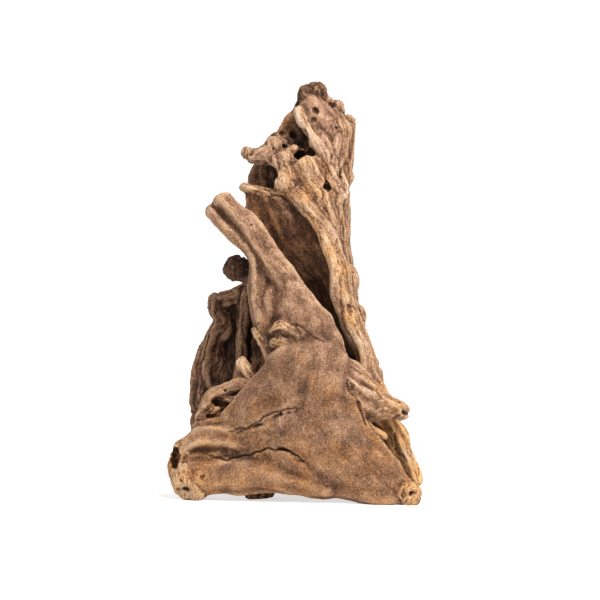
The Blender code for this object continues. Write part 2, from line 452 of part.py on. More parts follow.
def add_all_limbs(bm):
    for seed, (name, stations) in enumerate(LIMBS.items()):
        add_limb(bm, stations, seed, SMOOTH_SKIN.get(name, 1.0))
    for seed, (name, stations) in enumerate(SHEETS.items(), len(LIMBS)):
        add_sheet(bm, stations, seed, SMOOTH_SKIN.get(name, 1.0))
    for knob in KNOBS.values():
        add_block(bm, *knob)
    bend(bm, GNARLS)


def hidden(obj):
    obj.hide_render = True
    obj.display_type = "WIRE"
    return obj


def add_all_hollows(bm):
    for hollow in HOLLOWS.values():
        add_block(bm, *hollow)
    for seed, stations in enumerate(CREASES.values()):
        add_limb(bm, stations, seed)
    bend(bm, GNARLS + CUT_GNARLS)


def make_floor_cutter():
    def fill(bm):
        size = Matrix.Diagonal((FLOOR_SPAN, FLOOR_SPAN, FLOOR_DEEP, 1.0))
        under = Matrix.Translation((0, 0, -FLOOR_DEEP / 2))
        bmesh.ops.create_cube(bm, size=1.0, matrix=under @ size)
    return hidden(mesh_object("cut_floor", fill))


def add_remesh(obj, name, voxel):
    remesh = obj.modifiers.new(name, "REMESH")
    remesh.mode = "VOXEL"
    remesh.voxel_size = voxel


def add_smooth(obj, name, times):
    smooth = obj.modifiers.new(name, "SMOOTH")
    smooth.iterations = times


def add_lumps(obj):
    """Raises and lowers the skin by a cloud pattern, about its middle height."""
    pattern = bpy.data.textures.new("lumps", "CLOUDS")
    pattern.noise_scale = LUMP_SIZE
    lumps = obj.modifiers.new("lumps", "DISPLACE")
    lumps.texture = pattern
    lumps.texture_coords = "LOCAL"
    lumps.strength = LUMP_HEIGHT


def add_cut(obj, name, cutter):
    cut = obj.modifiers.new(name, "BOOLEAN")
    cut.operation = "DIFFERENCE"
    cut.object = cutter
    cut.solver = "EXACT"


def wood_material():
    wood = bpy.data.materials.new("driftwood")
    wood.use_nodes = True
    shader = wood.node_tree.nodes["Principled BSDF"]
    shader.inputs["Base Color"].default_value = WOOD_COLOUR
    shader.inputs["Roughness"].default_value = 0.8
    return wood


def main():
    clear_scene()
    wood = mesh_object("driftwood", add_all_limbs)
    add_remesh(wood, "fuse", SKIN_VOXEL)
    add_smooth(wood, "ease", 2)
    hollows = hidden(mesh_object("cut_hollows", add_all_hollows))
    add_remesh(hollows, "join", HOLLOW_VOXEL)
    add_cut(wood, "hollows", hollows)
    add_remesh(wood, "even", SKIN_VOXEL)
    add_smooth(wood, "ease_hollows", 1)
    add_lumps(wood)
    thin = wood.modifiers.new("thin", "DECIMATE")
    thin.ratio = THIN_RATIO
    add_cut(wood, "level", make_floor_cutter())
    wood.data.materials.append(wood_material())


main()
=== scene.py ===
import math

import bmesh
import bpy
import numpy as np
from mathutils import Euler, Matrix, Vector, noise


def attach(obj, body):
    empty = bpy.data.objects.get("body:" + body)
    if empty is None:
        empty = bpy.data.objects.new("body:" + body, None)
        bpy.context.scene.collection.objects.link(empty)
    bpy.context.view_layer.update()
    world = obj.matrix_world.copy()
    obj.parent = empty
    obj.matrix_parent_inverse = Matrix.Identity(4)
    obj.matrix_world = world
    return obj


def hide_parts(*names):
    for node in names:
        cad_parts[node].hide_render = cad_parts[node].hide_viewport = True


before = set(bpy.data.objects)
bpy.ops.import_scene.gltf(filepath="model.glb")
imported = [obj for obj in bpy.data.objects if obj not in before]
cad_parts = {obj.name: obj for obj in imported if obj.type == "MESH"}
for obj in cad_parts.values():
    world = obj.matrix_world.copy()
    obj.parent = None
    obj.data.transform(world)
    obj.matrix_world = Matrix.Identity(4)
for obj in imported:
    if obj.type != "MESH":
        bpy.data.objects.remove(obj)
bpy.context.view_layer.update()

# A weathered piece of driftwood: a torn hollow trunk on spreading roots.
# Its tables are in millimetres, from the floor under the middle of the front view.

mm = 0.001
toFrame = (2.8 * mm, -6.0 * mm, 0.0)  # from the tables' origin to the middle of the base
viewer = Vector((0.0, -1.0, 0.0))

wood = {
    "sides": 44, "ringsPerStation": 9, "knobSteps": 2,
    "endTurns": (0.5, 0.95, 1.3), "limbEnd": 0.5,  # the rounded ends: steps, and a limb's reach
    "fluteWidth": 7.0, "fluteLength": 48.0, "fluteHeight": 3.4,  # ridges that run along a root
    "fluteShare": 0.42, "fluteCrest": 0.3,
    "corners": (4, 5, 6), "twist": 9.0, "faceted": 0.9,  # flat sides, and their turn per metre
    "gnarls": ((30.0, 2.4), (12.0, 1.3), (5.5, 0.6)),  # size and height of the bends
    "cutGnarls": ((6.0, 1.6), (2.5, 0.7)), "gnarlSeed": 4, "grainShift": 40.0,
    "fuseCell": 1.0 * mm, "skinCell": 0.72 * mm, "hollowCell": 0.7 * mm, "fuseEase": 2, "hollowEase": 1,
    "mostTriangles": 197000,
}

# how strongly the ridges show on what still has a smooth surface
smoothSkin = {"apron": 0.3, "shoulder": 0.35, "tongueMiddle": 0.45, "tongueLower": 0.4,
              "stubUpper": 0.5, "stubLower": 0.6, "cap": 0.4, "trough": 0.5, "ridgePlate": 0.7,
              "sideShell": 0.7}

# a finish: lightness, warmth (below 0 is greyer), how deeply weathered; the low lightness of 'rear', 'arm'
# and 'shade' is painted shade on parts that sit in shadow, and that of 'heart' is partly darker wood and
# partly painted shade in the trough and basin
finishes = {
    "bark": (-0.2, 0.0, 0.15), "tongue": (0.2, 0.0, 0.2), "plate": (0.2, 0.0, 0.2),
    "branch": (0.1, 0.05, 0.35), "trunk": (0.0, 0.2, 0.9), "worn": (0.4, 0.4, 0.8),
    "ridge": (0.9, 0.4, 0.8), "crown": (-0.15, 0.1, 1.0), "rim": (1.1, 0.1, 1.0),
    "cap": (0.25, -0.3, 0.3), "knob": (-2.1, 0.0, 0.9), "lip": (0.1, 0.4, 1.0),
    "pale": (0.35, 0.05, 0.8), "cream": (0.7, 0.3, 1.0), "broken": (0.8, 0.15, 1.0),
    "rear": (-0.6, -0.1, 0.9), "arm": (-2.3, -0.1, 0.9), "shade": (-1.2, 0.0, 0.6),
    "heart": (-1.0, 0.6, 0.4), "side": (-0.3, 0.1, 1.0), "spur": (-0.9, 0.1, 0.9),
    "tip": (0.1, 0.15, 1.0),
}

# roots, branches and ridges: x, y, z, half width seen from the front, half depth
limbs = {
    "stubUpper": ("branch", [(-37.8, -32, 146.6, 6.4, 6.5), (-27.4, -32, 135.2, 7.3, 7),
      (-17, -31, 121, 7.6, 7), (-8, -29, 108, 8, 7), (-1, -27, 96, 8, 7), (4, -25, 84, 9, 7)]),
    "stubLower": ("branch", [(-42.4, -30, 141.2, 5, 6), (-31, -30, 131, 5, 6), (-21.5, -29, 118, 4.8, 6),
      (-19.5, -28, 101, 5.4, 6), (-17.5, -28, 88, 5.5, 6), (-14, -28, 74, 6, 6), (-10, -28, 60, 6, 6)]),
    "trunk": ("trunk", [(10, 5, 192, 8, 9), (11, 7, 172, 12, 12), (11, 9, 147, 12, 15),
      (12, 9, 122, 10, 16), (16, 8, 97, 8, 15), (21, 6, 72, 7, 13), (31, 0, 47, 7, 11),
      (43, -10, 25, 6, 10), (51, -18, 8, 5, 8)]),
    "backSwell": ("trunk", [(3, 14, 172, 8, 8), (-1, 18, 142, 12, 10), (2, 21, 112, 13, 12),
      (8, 19, 84, 14, 14), (14, 14, 56, 15, 15), (16, 6, 30, 12, 12)]),
    "ridgeFront": ("ridge", [(24, -19, 86, 4, 6), (30.6, -20, 74, 5, 7), (33.8, -21, 57, 5.2, 7),
      (38.8, -21, 44, 5.4, 8), (45, -22, 33, 5.4, 8), (50, -23, 23, 5.6, 7), (55, -24, 14, 5, 6),
      (57, -25, 7, 4, 5)]),
    "ridgeRight": ("worn", [(19.5, 4, 142, 3, 6), (18.4, 3, 130, 4, 8), (18, 2, 118, 4.4, 8),
      (20.8, 1, 103, 4.4, 8), (23.4, 0, 90, 4.4, 8), (26.2, -1, 75, 4.4, 8), (31, -3, 60, 4.4, 7),
      (38, -6, 46, 4.4, 6)]),
    "rim": ("rim", [(-1.6, -6, 188, 3, 4), (2.2, -9, 182.5, 4.6, 6), (7, -12, 176.5, 5, 6),
      (13, -14, 169, 4.8, 6), (18, -14, 159, 4, 6), (21, -12, 147, 3, 5)]),
    "cap": ("cap", [(4.5, -3, 193, 6, 7), (9, -7, 186.5, 7.5, 7), (15, -7, 178, 7, 7),
      (19, -6, 168, 5, 7)]),
    "ledge": ("crown", [(-26.5, -10, 167.4, 3.6, 4.5), (-21, -12, 166, 5, 6), (-15, -13, 166, 6, 7),
      (-9, -13, 163, 6, 7), (-3, -13, 160, 5, 7)]),
    "lip": ("lip", [(-28.4, -14.5, 152.6, 3.2, 3.5), (-21, -15.4, 150.8, 2.8, 4),
      (-14, -16.4, 149, 2.6, 4), (-7, -17.4, 147, 2.6, 4)]),
    "tongueMiddle": ("tongue", [(-56, -35, 26.4, 4.8, 6), (-48, -37, 29.6, 6.4, 7), (-34, -41, 29.6, 7, 8),
      (-18, -45, 32, 8, 9), (-2, -47, 34, 8.5, 9), (12, -46, 33, 8, 8)]),
    "tongueLower": ("tongue", [(-57, -34, 12, 9, 9), (-48, -36, 11, 9.8, 10), (-36, -40, 12, 9.4, 9),
      (-24, -44, 13.2, 9.4, 9), (-12, -47, 14.4, 10, 9), (0, -48, 12.8, 9.8, 9), (14, -50, 8.4, 8, 8)]),
    "tongueInner": ("tongue", [(-54, -34, 19, 5, 6), (-42, -37, 20, 6, 6), (-26, -40, 22, 6, 7),
      (-8, -42, 24, 7, 8)]),
    "rootRight": ("pale", [(20, -36, 63.4, 8, 6), (28, -36, 56.4, 8.4, 6), (34.5, -36, 50.4, 7.4, 7),
      (40.5, -36, 45.6, 6.2, 7), (44.6, -36, 43.4, 5.6, 6), (47.5, -36, 42.5, 5.4, 5)]),
    "prong": ("pale", [(29, -42, 39, 4, 5), (32, -42, 36, 3.4, 4), (37, -42, 33.5, 2.4, 3),
      (41.5, -42, 32, 1.6, 2)]),
    # the folds, ribs and roots at the back take the darker 'rear' finish and the rear arm the darker 'arm'
    # finish: painted shade on the side turned away from the lamps
    "foldOuter": ("rear", [(-45.5, 47, 93.5, 5, 6), (-43, 46, 89, 5.6, 8), (-38, 45, 82, 6, 8),
      (-43, 44, 75, 8, 9), (-46.5, 43, 63, 9.4, 9), (-48.5, 42, 50, 9.2, 9), (-49, 40, 40, 8.8, 9),
      (-48.5, 39, 30, 8.8, 8), (-43, 36, 15, 6, 7)]),
    "foldMiddle": ("rear", [(-28, 42, 97, 4, 6), (-30, 40, 84, 4, 7), (-31, 39, 68, 4.2, 8),
      (-32, 38, 50, 4.6, 8), (-32, 34, 32, 6, 8), (-30, 28, 14, 6, 7)]),
    "foldInner": ("rear", [(-20, 46, 98, 6, 7), (-18, 46, 78, 7, 8), (-18, 44, 54, 8, 9),
      (-18, 38, 32, 9, 10), (-16, 28, 18, 9, 9)]),
    "foldCrest": ("rear", [(-45.5, 46, 91, 4.8, 6), (-38, 45, 93, 5.4, 7), (-28, 43, 96.8, 5.4, 7),
      (-16, 38, 101, 6, 8), (-4, 30, 102, 7, 9)]),
    "rearArm": ("arm", [(2, 20, 104, 9, 9), (-12, 25, 107, 8.4, 8), (-23, 29, 108.4, 8, 7),
      (-30, 31, 109.4, 7, 6), (-35, 32, 109, 6, 5)]),
    "rearNib": ("rear", [(-14, 22, 112, 6, 6), (-22, 26, 119, 4, 4.4), (-28, 27, 122.5, 3, 3)]),
    "rearBridge": ("rear", [(-38, 47, 58, 15, 9), (-22, 49, 56, 22, 9), (-6, 41, 54, 22, 12),
      (10, 26, 52, 22, 14), (20, 10, 48, 18, 12)]),
    "rearRoot": ("rear", [(10, 22, 104, 9, 9), (7, 37, 82, 10, 10), (9, 47, 60, 10, 10),
      (4, 54, 40, 7.5, 9), (6, 60, 22, 7, 8), (1, 64, 8, 8.5, 9), (-1, 66, 1, 9, 8)]),
    "rearRightRoot": ("rear", [(22, 16, 70, 10, 9), (27, 25, 52, 9, 9), (35, 32, 36, 6.5, 8),
      (37, 41, 22, 6, 7), (44, 47, 10, 4.6, 5), (47, 52, 5, 3, 4)]),
    "rearLeftRoot": ("rear", [(-24, 46, 56, 10, 9), (-27, 53, 40, 7.5, 8), (-35, 57, 26, 6, 7),
      (-36, 63, 13, 5, 6), (-41, 66, 6, 3.6, 4)]),
    "rearWeb": ("rear", [(-30, 50, 34, 4, 7), (-16, 54, 36, 9, 8), (0, 54, 40, 10, 8)]),
    "rearFill": ("rear", [(-6, 32, 104, 7, 7), (-9, 40, 84, 8, 8), (-8, 46, 62, 8, 8)]),
    "ribOuter": ("rear", [(-40, 48, 92, 3, 4), (-44, 53, 76, 4, 5), (-45, 56, 58, 4, 5),
      (-40, 57, 42, 4, 5), (-36, 57, 26, 4, 5)]),
    "ribMiddle": ("rear", [(-29, 46, 97, 3.4, 5), (-33, 55, 78, 4, 6), (-31, 60, 58, 4, 6),
      (-24, 60, 42, 4, 5), (-20, 57, 27, 3.4, 4)]),
    "ribInner": ("rear", [(-17, 44, 100, 3.4, 5), (-21, 54, 80, 4, 6), (-18, 60, 60, 4.4, 6),
      (-8, 60, 44, 4, 5), (2, 60, 30, 3.4, 4)]),
    "ribRight": ("rear", [(16, 34, 84, 4, 6), (18, 42, 64, 4.4, 6), (25, 38, 46, 4, 5),
      (35, 38, 32, 3.4, 4)]),
    "backRidgeLeft": ("worn", [(-3, 20, 178, 3.5, 5), (-8, 26, 150, 4, 6), (-7, 32, 122, 4.5, 6),
      (-3, 38, 96, 4.5, 6), (2, 45, 72, 4, 6), (0, 54, 44, 4, 6)]),
    "backRidgeMiddle": ("worn", [(5, 20, 182, 4, 5), (5, 28, 152, 4.5, 6), (8, 33, 122, 5, 6),
      (14, 34, 94, 5, 6), (19, 36, 68, 4.5, 6), (24, 32, 48, 4, 6)]),
    "backRidgeRight": ("worn", [(15, 15, 178, 4, 5), (19, 20, 150, 4.5, 6), (19, 23, 120, 5, 6),
      (22, 21, 92, 5, 6), (27, 15, 64, 5, 6), (33, 6, 44, 5, 6)]),
    "backBranch": ("trunk", [(4, 24, 132, 8, 8), (2, 36, 144, 6, 6), (1, 46, 153, 5, 5),
      (2, 52, 158, 4.6, 4.6)]),
    "sideRoot": ("spur", [(-14, -24, 53, 7, 7), (-24, -26, 55, 5.2, 5), (-33, -27, 53, 4.6, 4.6),
      (-41, -28, 48.4, 4, 4), (-47, -28, 43, 2.6, 3.6)]),
    "sideSpur": ("spur", [(-34, -28, 36, 3, 4), (-44, -29, 35.5, 2.8, 3), (-52, -29, 34, 2.2, 2.6)]),
    "sideSplinter": ("side", [(-24, -29, 47, 2.6, 3), (-34, -30, 45.5, 2.4, 3), (-43, -30, 41.5, 2, 2.4)]),
    "sideKnob": ("cream", [(-20, -24, 54, 5, 5), (-26, -25, 59, 4, 4.4), (-28.4, -26, 64, 4, 4.4),
      (-28.6, -26, 67.4, 2.8, 3)]),
    "sideFlake": ("cream", [(-14, -28, 70, 4, 4), (-19, -28, 76, 2.6, 3), (-22, -28, 83, 2, 2.5)]),
    "crumbUpper": ("cream", [(-13.6, -35.6, 82.6, 2.4, 3), (-9.4, -36.8, 84.4, 3.6, 3.8),
      (-4.4, -37.4, 82, 3.8, 3.6), (-0.4, -38.2, 78.8, 2.4, 3)]),
    "crumbLower": ("cream", [(-13, -35.6, 77, 2.6, 3), (-7, -37.6, 76.8, 3, 3.4), (0, -39.2, 75.8, 2.6, 3),
      (7.6, -40.2, 74.8, 1.6, 2.2)]),
    "crumbSide": ("cream", [(-21.4, -29, 84, 2.2, 3), (-19.6, -30, 79.6, 3.4, 3.8),
      (-16.4, -31, 75, 2.4, 3)]),
    # the foot under the apron and the core behind it take the 'shade' finish: painted shade where they lie
    # in shadow
    "darkFoot": ("shade", [(-8, -36, 24, 9, 8), (-16, -31, 13, 8.4, 7.6), (-20, -32, 4.4, 7.6, 6),
      (-20, -32, 2.6, 6, 5)]),
    "core": ("shade", [(-4, -24, 76, 9, 8), (2, -20, 56, 16, 12), (8, -16, 36, 20, 18),
      (10, -12, 20, 18, 16)]),
}

# plates and troughs: left point, right point, half thickness, bulge to the front
sheets = {
    "apron": ("bark", [((-6, -36, 76), (20, -36, 74), 4, 2), ((-15, -38, 71), (24, -39, 70), 5.5, 4),
      ((-23, -38, 61), (25.5, -42, 62), 6.5, 5), ((-31, -38, 50), (27.5, -45, 51), 7, 6), ((-38, -38, 39),
      (32.5, -47, 40), 7, 7), ((-40, -39, 29), (41, -50, 29.5), 7, 7), ((-32, -41, 20),
      (48.5, -52, 19), 7, 6), ((-16, -43, 12), (55, -55, 8), 6, 4), ((2, -47, 4.4),
      (57.5, -57, 1.2), 5, 2)]),
    "rootFan": ("pale", [((21, -40, 50), (21, -37, 66), 5, 2), ((29.5, -41, 38), (30.5, -37, 61.5), 5, 3),
      ((37.5, -39.5, 38.5), (38, -36, 55.5), 5, 2), ((45, -38, 38.5), (45, -36, 50), 5, 1),
      ((49.5, -37, 40.5), (49.5, -36, 47), 4.6, 0)]),
    "sideShell": ("side", [((-14, -22, 44), (-14, -22, 56), 4, 2), ((-24, -24, 42),
      (-25, -25, 56), 3.4, -1), ((-34, -25, 38), (-35, -26, 54), 3, -2), ((-43, -27, 35.5),
      (-43, -27, 49), 2.8, -1), ((-50, -28, 36), (-47.5, -28, 44), 2.4, 0)]),
    "shoulder": ("plate", [((-10, -31, 104), (3, -31, 103), 3.4, 1), ((-12, -29, 96),
      (11, -31.5, 95), 4.4, 2), ((-13, -28, 88), (17.4, -32, 86), 5, 3), ((-14, -27, 78),
      (22.4, -33, 77), 5, 4), ((-12, -28, 68), (25, -33, 68), 5, 4), ((-8, -30, 56), (28, -34, 57), 6, 4),
      ((0, -30, 42), (29, -34, 44), 6, 3)]),
    "ridgePlate": ("worn", [((-13, -16, 155), (1, -14, 155), 4.5, 1), ((-5, -21, 146),
      (8, -16, 146.5), 4.5, 1), ((6, -23, 132), (16, -17, 132), 4.5, 1), ((12, -24, 117),
      (21.5, -17, 117), 4.5, 1), ((13.6, -24, 107), (24, -16, 106), 4.5, 1), ((16, -24, 97),
      (25.4, -16, 96), 4.5, 1), ((20, -24, 88), (29, -16, 87), 4.5, 1), ((24, -24, 77),
      (32.4, -16, 77), 4.5, 1), ((30, -24, 63), (38, -17, 62), 4.5, 1), ((36, -24, 50),
      (42, -19, 49), 5, 1)]),
    "crownFace": ("crown", [((7, -5, 190), (21, 3, 188), 4, 1), ((10, -9, 182), (25, 1, 181), 5, 2),
      ((13, -12, 173), (26, 0, 172), 5, 2), ((8, -14, 163), (26.6, -1, 164), 5, 2.4), ((2, -14, 154),
      (27, -1, 156), 5, 2.4), ((8, -16, 143), (22.4, -1, 144), 5, 2.4), ((14, -16, 130),
      (20.2, -2, 131), 5, 2), ((16.6, -15, 116), (20, -2, 117), 4.6, 1.6), ((20.6, -14, 100),
      (22.8, -3, 100), 4.4, 1.4), ((26, -14, 82), (27, -4, 82), 4, 1)]),
    "crownFront": ("worn", [((-3, -17, 160), (12, -15, 166), 4, 1), ((0, -19, 153),
      (17, -15, 157), 4.4, 1.6), ((4, -20, 145), (20, -14, 147), 4.4, 1.6), ((9, -20, 135),
      (20, -13, 136), 4.4, 1.4), ((13, -19, 124), (20, -12, 124), 4, 1.2)]),
    "foldWall": ("rear", [((-44, 47, 90), (-10, 44, 99), 4, 0), ((-42, 46, 76), (-8, 45, 80), 5, 1),
      ((-48, 44, 56), (-8, 43, 58), 5, 2), ((-49, 41, 36), (-8, 38, 36), 5, 2), ((-42, 37, 18),
      (-10, 32, 16), 5, 1)]),
    "backPlate": ("trunk", [((-5, 18, 182), (16, 14, 182), 4, 0), ((-8, 25, 160), (20, 18, 160), 5, 0),
      ((-9, 30, 136), (21, 22, 136), 5, 0), ((-7, 35, 112), (22, 24, 112), 5.4, 0), ((-3, 40, 90),
      (25, 24, 90), 5.4, 0), ((0, 46, 66), (31, 18, 66), 5.4, 0), ((1, 54, 44), (37, 12, 44), 5, 0)]),
    "rearPlate": ("rear", [((-43, 49, 92), (-8, 44, 100), 4, 0), ((-46, 53, 76), (-6, 52, 80), 5, 0),
      ((-47, 56, 58), (2, 57, 60), 5, 0), ((-42, 56, 42), (4, 57, 42), 5, 0), ((-38, 55, 29),
      (2, 56, 29), 4, 0)]),
    "flankPlate": ("trunk", [((23, 12, 150), (19, 20, 150), 4, 0), ((23, 2, 124), (21, 24, 124), 4.4, 0),
      ((24, 0, 100), (24, 24, 100), 4.4, 0), ((28, -4, 78), (29, 22, 78), 4.4, 0), ((36, -10, 56),
      (37, 20, 52), 4.4, 0)]),
    # the trough and the basin take the dark 'heart' finish: partly darker wood, partly painted shade in
    # the recess
    "trough": ("heart", [((-28, -14, 152), (-5, -17, 148), 3.2, 0), ((-28, -14, 145),
      (3, -18, 142), 3.6, -1), ((-27, -13, 135), (9.5, -18, 134), 4, -2), ((-23, -11, 123),
      (14.5, -18, 124), 4, -4), ((-14, -8, 110), (18.5, -18, 112), 4, -6), ((-2, -5, 97),
      (21.5, -18, 100), 4, -8), ((8, -4, 83), (25, -18, 87), 4, -8), ((18, -5, 66), (30, -18, 68), 4, -6),
      ((30, -8, 50), (38, -18, 51), 4, -4)]),
    # a sheet that closes the back of the throat, with the 'shade' finish: painted shade for the throat's
    # depth
    "throatWall": ("shade", [((-15, 2, 175.6), (4, 3, 176), 4, 0), ((-22, 2, 167.4), (2, 4, 166), 5, 0),
      ((-24.2, 2, 158), (0, 4, 156), 5.6, 0), ((-26, -1, 146), (2, 2, 144), 5, 0)]),
    "basin": ("heart", [((-21, -6, 166), (4, -8, 160), 3.4, -1), ((-14.6, -3, 172),
      (12, -6, 166), 3.4, -2), ((-10.4, -1, 179.4), (18, -4, 173), 3.4, -2), ((-5.4, 1, 187),
      (20, 0, 181), 4, -1), ((-1, 4, 194), (18, 4, 189), 4, -1)]),
}

# knobs: x, y, z, half sizes
knobs = {
    "topLeft": ("knob", 2.2, 0, 197.4, 4.6, 6, 5.6),
    "topMiddle": ("knob", 7.2, 2, 199.6, 5.2, 7, 4.8),
    "topRight": ("crown", 13, 3, 194, 4, 5, 4.4),
    "topSecond": ("crown", 18, 0, 192, 4, 5, 4.4),
    "topShoulder": ("crown", 23.4, 2, 181, 4.8, 7, 6.8),
    "ledgeFlake": ("crown", -14, -14, 171.6, 4.4, 5, 3.8),
    "ledgeBlock": ("crown", -9, -15.4, 164, 6.4, 7, 5.4),
    "ledgeColumn": ("worn", -6.5, -18, 155.5, 6.4, 6.4, 8),
    "horn": ("crown", -26.6, -11, 168.2, 3.4, 4, 3.6),
    "basinLumpLeft": ("crown", -9, -9, 173.5, 3.4, 4, 3),
    "basinLumpMiddle": ("crown", -3, -11, 170.5, 4, 4.4, 3),
    "basinLumpRight": ("crown", 2, -10, 170.5, 3, 4, 2.2),
    "branchFill": ("branch", -13.5, -27.6, 97, 7, 6, 11),
    "crownLump": ("crown", 12.5, -10, 184, 4, 5, 4),
    "crownCorner": ("crown", 22.5, -3, 184.5, 4.4, 5, 3.8),
    "leftKnob": ("broken", -55, -35, 11, 9.2, 9, 9.2),
    "leftKnobFoot": ("broken", -51, -36, 7.4, 9, 9, 9.6),
    "leftKnobSide": ("broken", -60.2, -32, 16.6, 6, 8, 8.8),
    "leftKnobTop": ("broken", -57, -34, 25, 6.6, 6, 5.6),
    "rightTip": ("tip", 51.6, -55, 5.2, 7.2, 7, 7),
    "rightTipEnd": ("tip", 54.4, -55, 4.8, 4.2, 6, 6.4),
    "crumbMiddle": ("cream", -6, -35, 80, 6, 3.6, 3.4),
    "rootKnob": ("pale", 49, -36, 42.4, 5.4, 6, 5.6),
    "armEnd": ("arm", -33, 31, 110.2, 7.2, 7, 7.6),
    "flankSwell": ("worn", 25.2, 0, 105, 4.4, 6, 10),
    "flankKnot": ("worn", 28.8, -3, 88, 4.2, 6, 6),
    "backBurl": ("worn", -6, 34, 122, 7, 6, 9),
    "rearKnot": ("rear", -25, 60, 66, 7, 5, 6),
}

# creases cut into the skin, as paths like the roots'
creases = {
    "apronCrease": [(-42, -47.4, 29.5, 0.78, 3.2), (-33, -49.6, 32.5, 0.9, 3.52),
      (-25, -51.6, 36, 0.9, 3.68), (-18, -53.4, 40.5, 0.9, 3.52), (-8, -55.4, 44.5, 0.84, 3.04),
      (2, -57.2, 46, 0.6, 2.08)],
    "rootCrease": [(-54, -45.6, 21.5, 0.96, 3), (-47, -47.1, 22.5, 1.12, 3.2), (-38, -51.1, 20.6, 0.96, 4),
      (-28, -53.6, 22.4, 0.96, 4.2), (-17, -56.2, 26.4, 1.12, 4.6), (-8, -57.6, 26, 1.12, 4.6),
      (0, -59.1, 21, 0.96, 4), (6, -60.1, 15, 0.8, 3)],
    "stubGroove": [(-45, -41.0, 145, 2, 3), (-35, -41.5, 135.5, 2.8, 3.4), (-26, -41.0, 124, 2.8, 3.4),
      (-19, -40.0, 111, 2.6, 3.4), (-14.5, -39.5, 100, 2.6, 3.4), (-12, -39.0, 91, 2, 3)],
    "shoulderValley": [(-9, -37.5, 102, 1.2, 2.4), (-10, -38, 95, 1.6, 3), (-11, -38.5, 88, 1.4, 3)],
    "fanCrease": [(23.5, -46, 62, 1, 3), (25.5, -47.5, 54, 1.2, 3.4), (28, -48.5, 46, 1.2, 3.6),
      (32, -49, 38.5, 1, 3)],
    "ridgeGroove": [(4, -25, 152, 1, 2.4), (9.6, -26, 142, 1.3, 2.8), (15.5, -26, 129, 1.3, 2.8),
      (20.5, -25, 115, 1.3, 2.8), (24, -25, 101, 1.2, 2.8), (26.5, -25, 88, 1, 2.4)],
    "flankGroove": [(16, -20, 158, 1, 2.4), (19.5, -19, 145, 1.2, 2.6), (21.5, -18, 130, 1.2, 2.6),
      (22, -16, 114, 1, 2.4)],
    "crownSeam": [(19, -13, 169, 1, 2.4), (20, -15, 163, 1.3, 3), (19.4, -16, 156, 1, 2.4)],
    "backGrooveLeft": [(-1, 32, 166, 2, 4.6), (-1.6, 38, 142, 2.4, 5.4), (0, 42, 118, 2.4, 5)],
    "backGrooveRight": [(13, 28, 170, 2, 5), (14, 35, 140, 2.4, 6), (16, 36, 112, 2.4, 6),
      (21, 33, 84, 2.4, 6), (26, 27, 62, 2, 5)],
    "sideGroove": [(26, 12, 150, 2.4, 4), (27, 13, 120, 2.4, 4.5), (30, 10, 92, 2.4, 4.5),
      (34, 4, 66, 2.4, 4)],
}

# hollows cut out: x, y, z, half sizes
hollows = {
    "throat": (-15.4, -14, 157.4, 7.4, 11.4, 5.8),
    "basinHollow": (-4.4, -13, 176, 8.4, 9, 5),
    "basinPitLeft": (-8.6, -7, 177.4, 2.6, 7, 2.6),
    "basinPitMiddle": (-2.8, -7, 177.6, 3, 7, 3.2),
    "basinPitSmall": (-8, -13, 173.6, 1.8, 5, 1.8),
    "basinPitRight": (1.2, -11, 172.6, 3, 7, 2.8),
    "basinPitLow": (5.4, -13, 168.4, 2.4, 6, 2.6),
    "ledgePit": (-1.4, -20, 165.6, 1.8, 4, 1.4),
    "crownPit": (14.6, -5, 194.6, 2.6, 6, 3),
    "capPit": (6, -12.6, 189.4, 1.8, 4, 2),
    "capPitLow": (6, -14.6, 184.4, 2, 4, 2.2),
    "flankPit": (16.5, -19, 167.5, 1.8, 4, 4.4),
    "flankHole": (13, -20, 153, 2, 4, 2.8),
    "sideRootMouth": (-36, -32, 44.6, 8, 6, 3),
    "sideRootGap": (-42, -31, 38, 4.4, 5, 2),
    "leftKnobPit": (-61.4, -40, 20.5, 3, 9, 5.4),
    "leftKnobSlot": (-53, -44, 20.4, 5.6, 5, 1.6),
    "leftKnobEye": (-46.5, -46, 12.4, 1.5, 3, 1.7),
    "leftKnobLow": (-56, -45, 7, 2.8, 4, 1.4),
    "leftKnobChip": (-60, -43, 5.4, 3.4, 4, 1.8),
    "rightTipChip": (52.5, -62, 6.4, 3, 4, 2),
    "rootFork": (53.5, -39, 41.6, 5.4, 6, 1.4),
    "armChip": (-40.4, 27, 114.4, 4.4, 8, 3.6),
    "knotEye": (33, -7, 88, 1.8, 3, 2.6),
    "burlEye": (-7, 41, 123, 3, 5, 4),
    "backCleft": (5, 47, 84, 2.6, 6, 14),
    "rearKnotEye": (-25, 66, 67, 3, 4, 2.6),
    "rearCleftLeft": (-37, 60, 66, 2.4, 7, 20),
    "rearCleftRight": (-26, 65, 46, 2.4, 7, 12),
    "rearCleftMiddle": (-12, 64, 70, 2.4, 9, 18),
}

crackShape = {"stepsPerPoint": 6, "shake": 0.9, "shakesPerMm": 0.35, "taper": 6.0, "endWidth": 0.35}

# cracks seen from the front: width, depth, how far back they reach, and x and z of the path
cracks = {
    "apronCrack": (0.8, 0.6, -30, [(-38, 32.5), (-34, 34), (-30, 35.5), (-26, 36), (-22, 38), (-18, 41),
      (-14, 43.5), (-10, 44), (-6, 45.5), (-1, 46), (4, 46.3)]),
    "rootCrack": (0.7, 0.9, -30, [(-50, 24), (-45, 22.5), (-41, 21), (-36, 20.5), (-31, 22), (-26, 22.5),
      (-21, 24.5), (-16, 26.5), (-11, 26), (-7, 26.5), (-2, 24), (2, 20), (6, 15)]),
    "shoulderCrack": (0.7, 0.5, -20, [(-8, 84), (-3, 85), (1, 84), (6, 80), (10, 78), (14, 76)]),
    "lipCrack": (0.5, 0.8, -8, [(-20, 151), (-16, 150), (-13, 147.5), (-9, 147), (-5, 144)]),
}


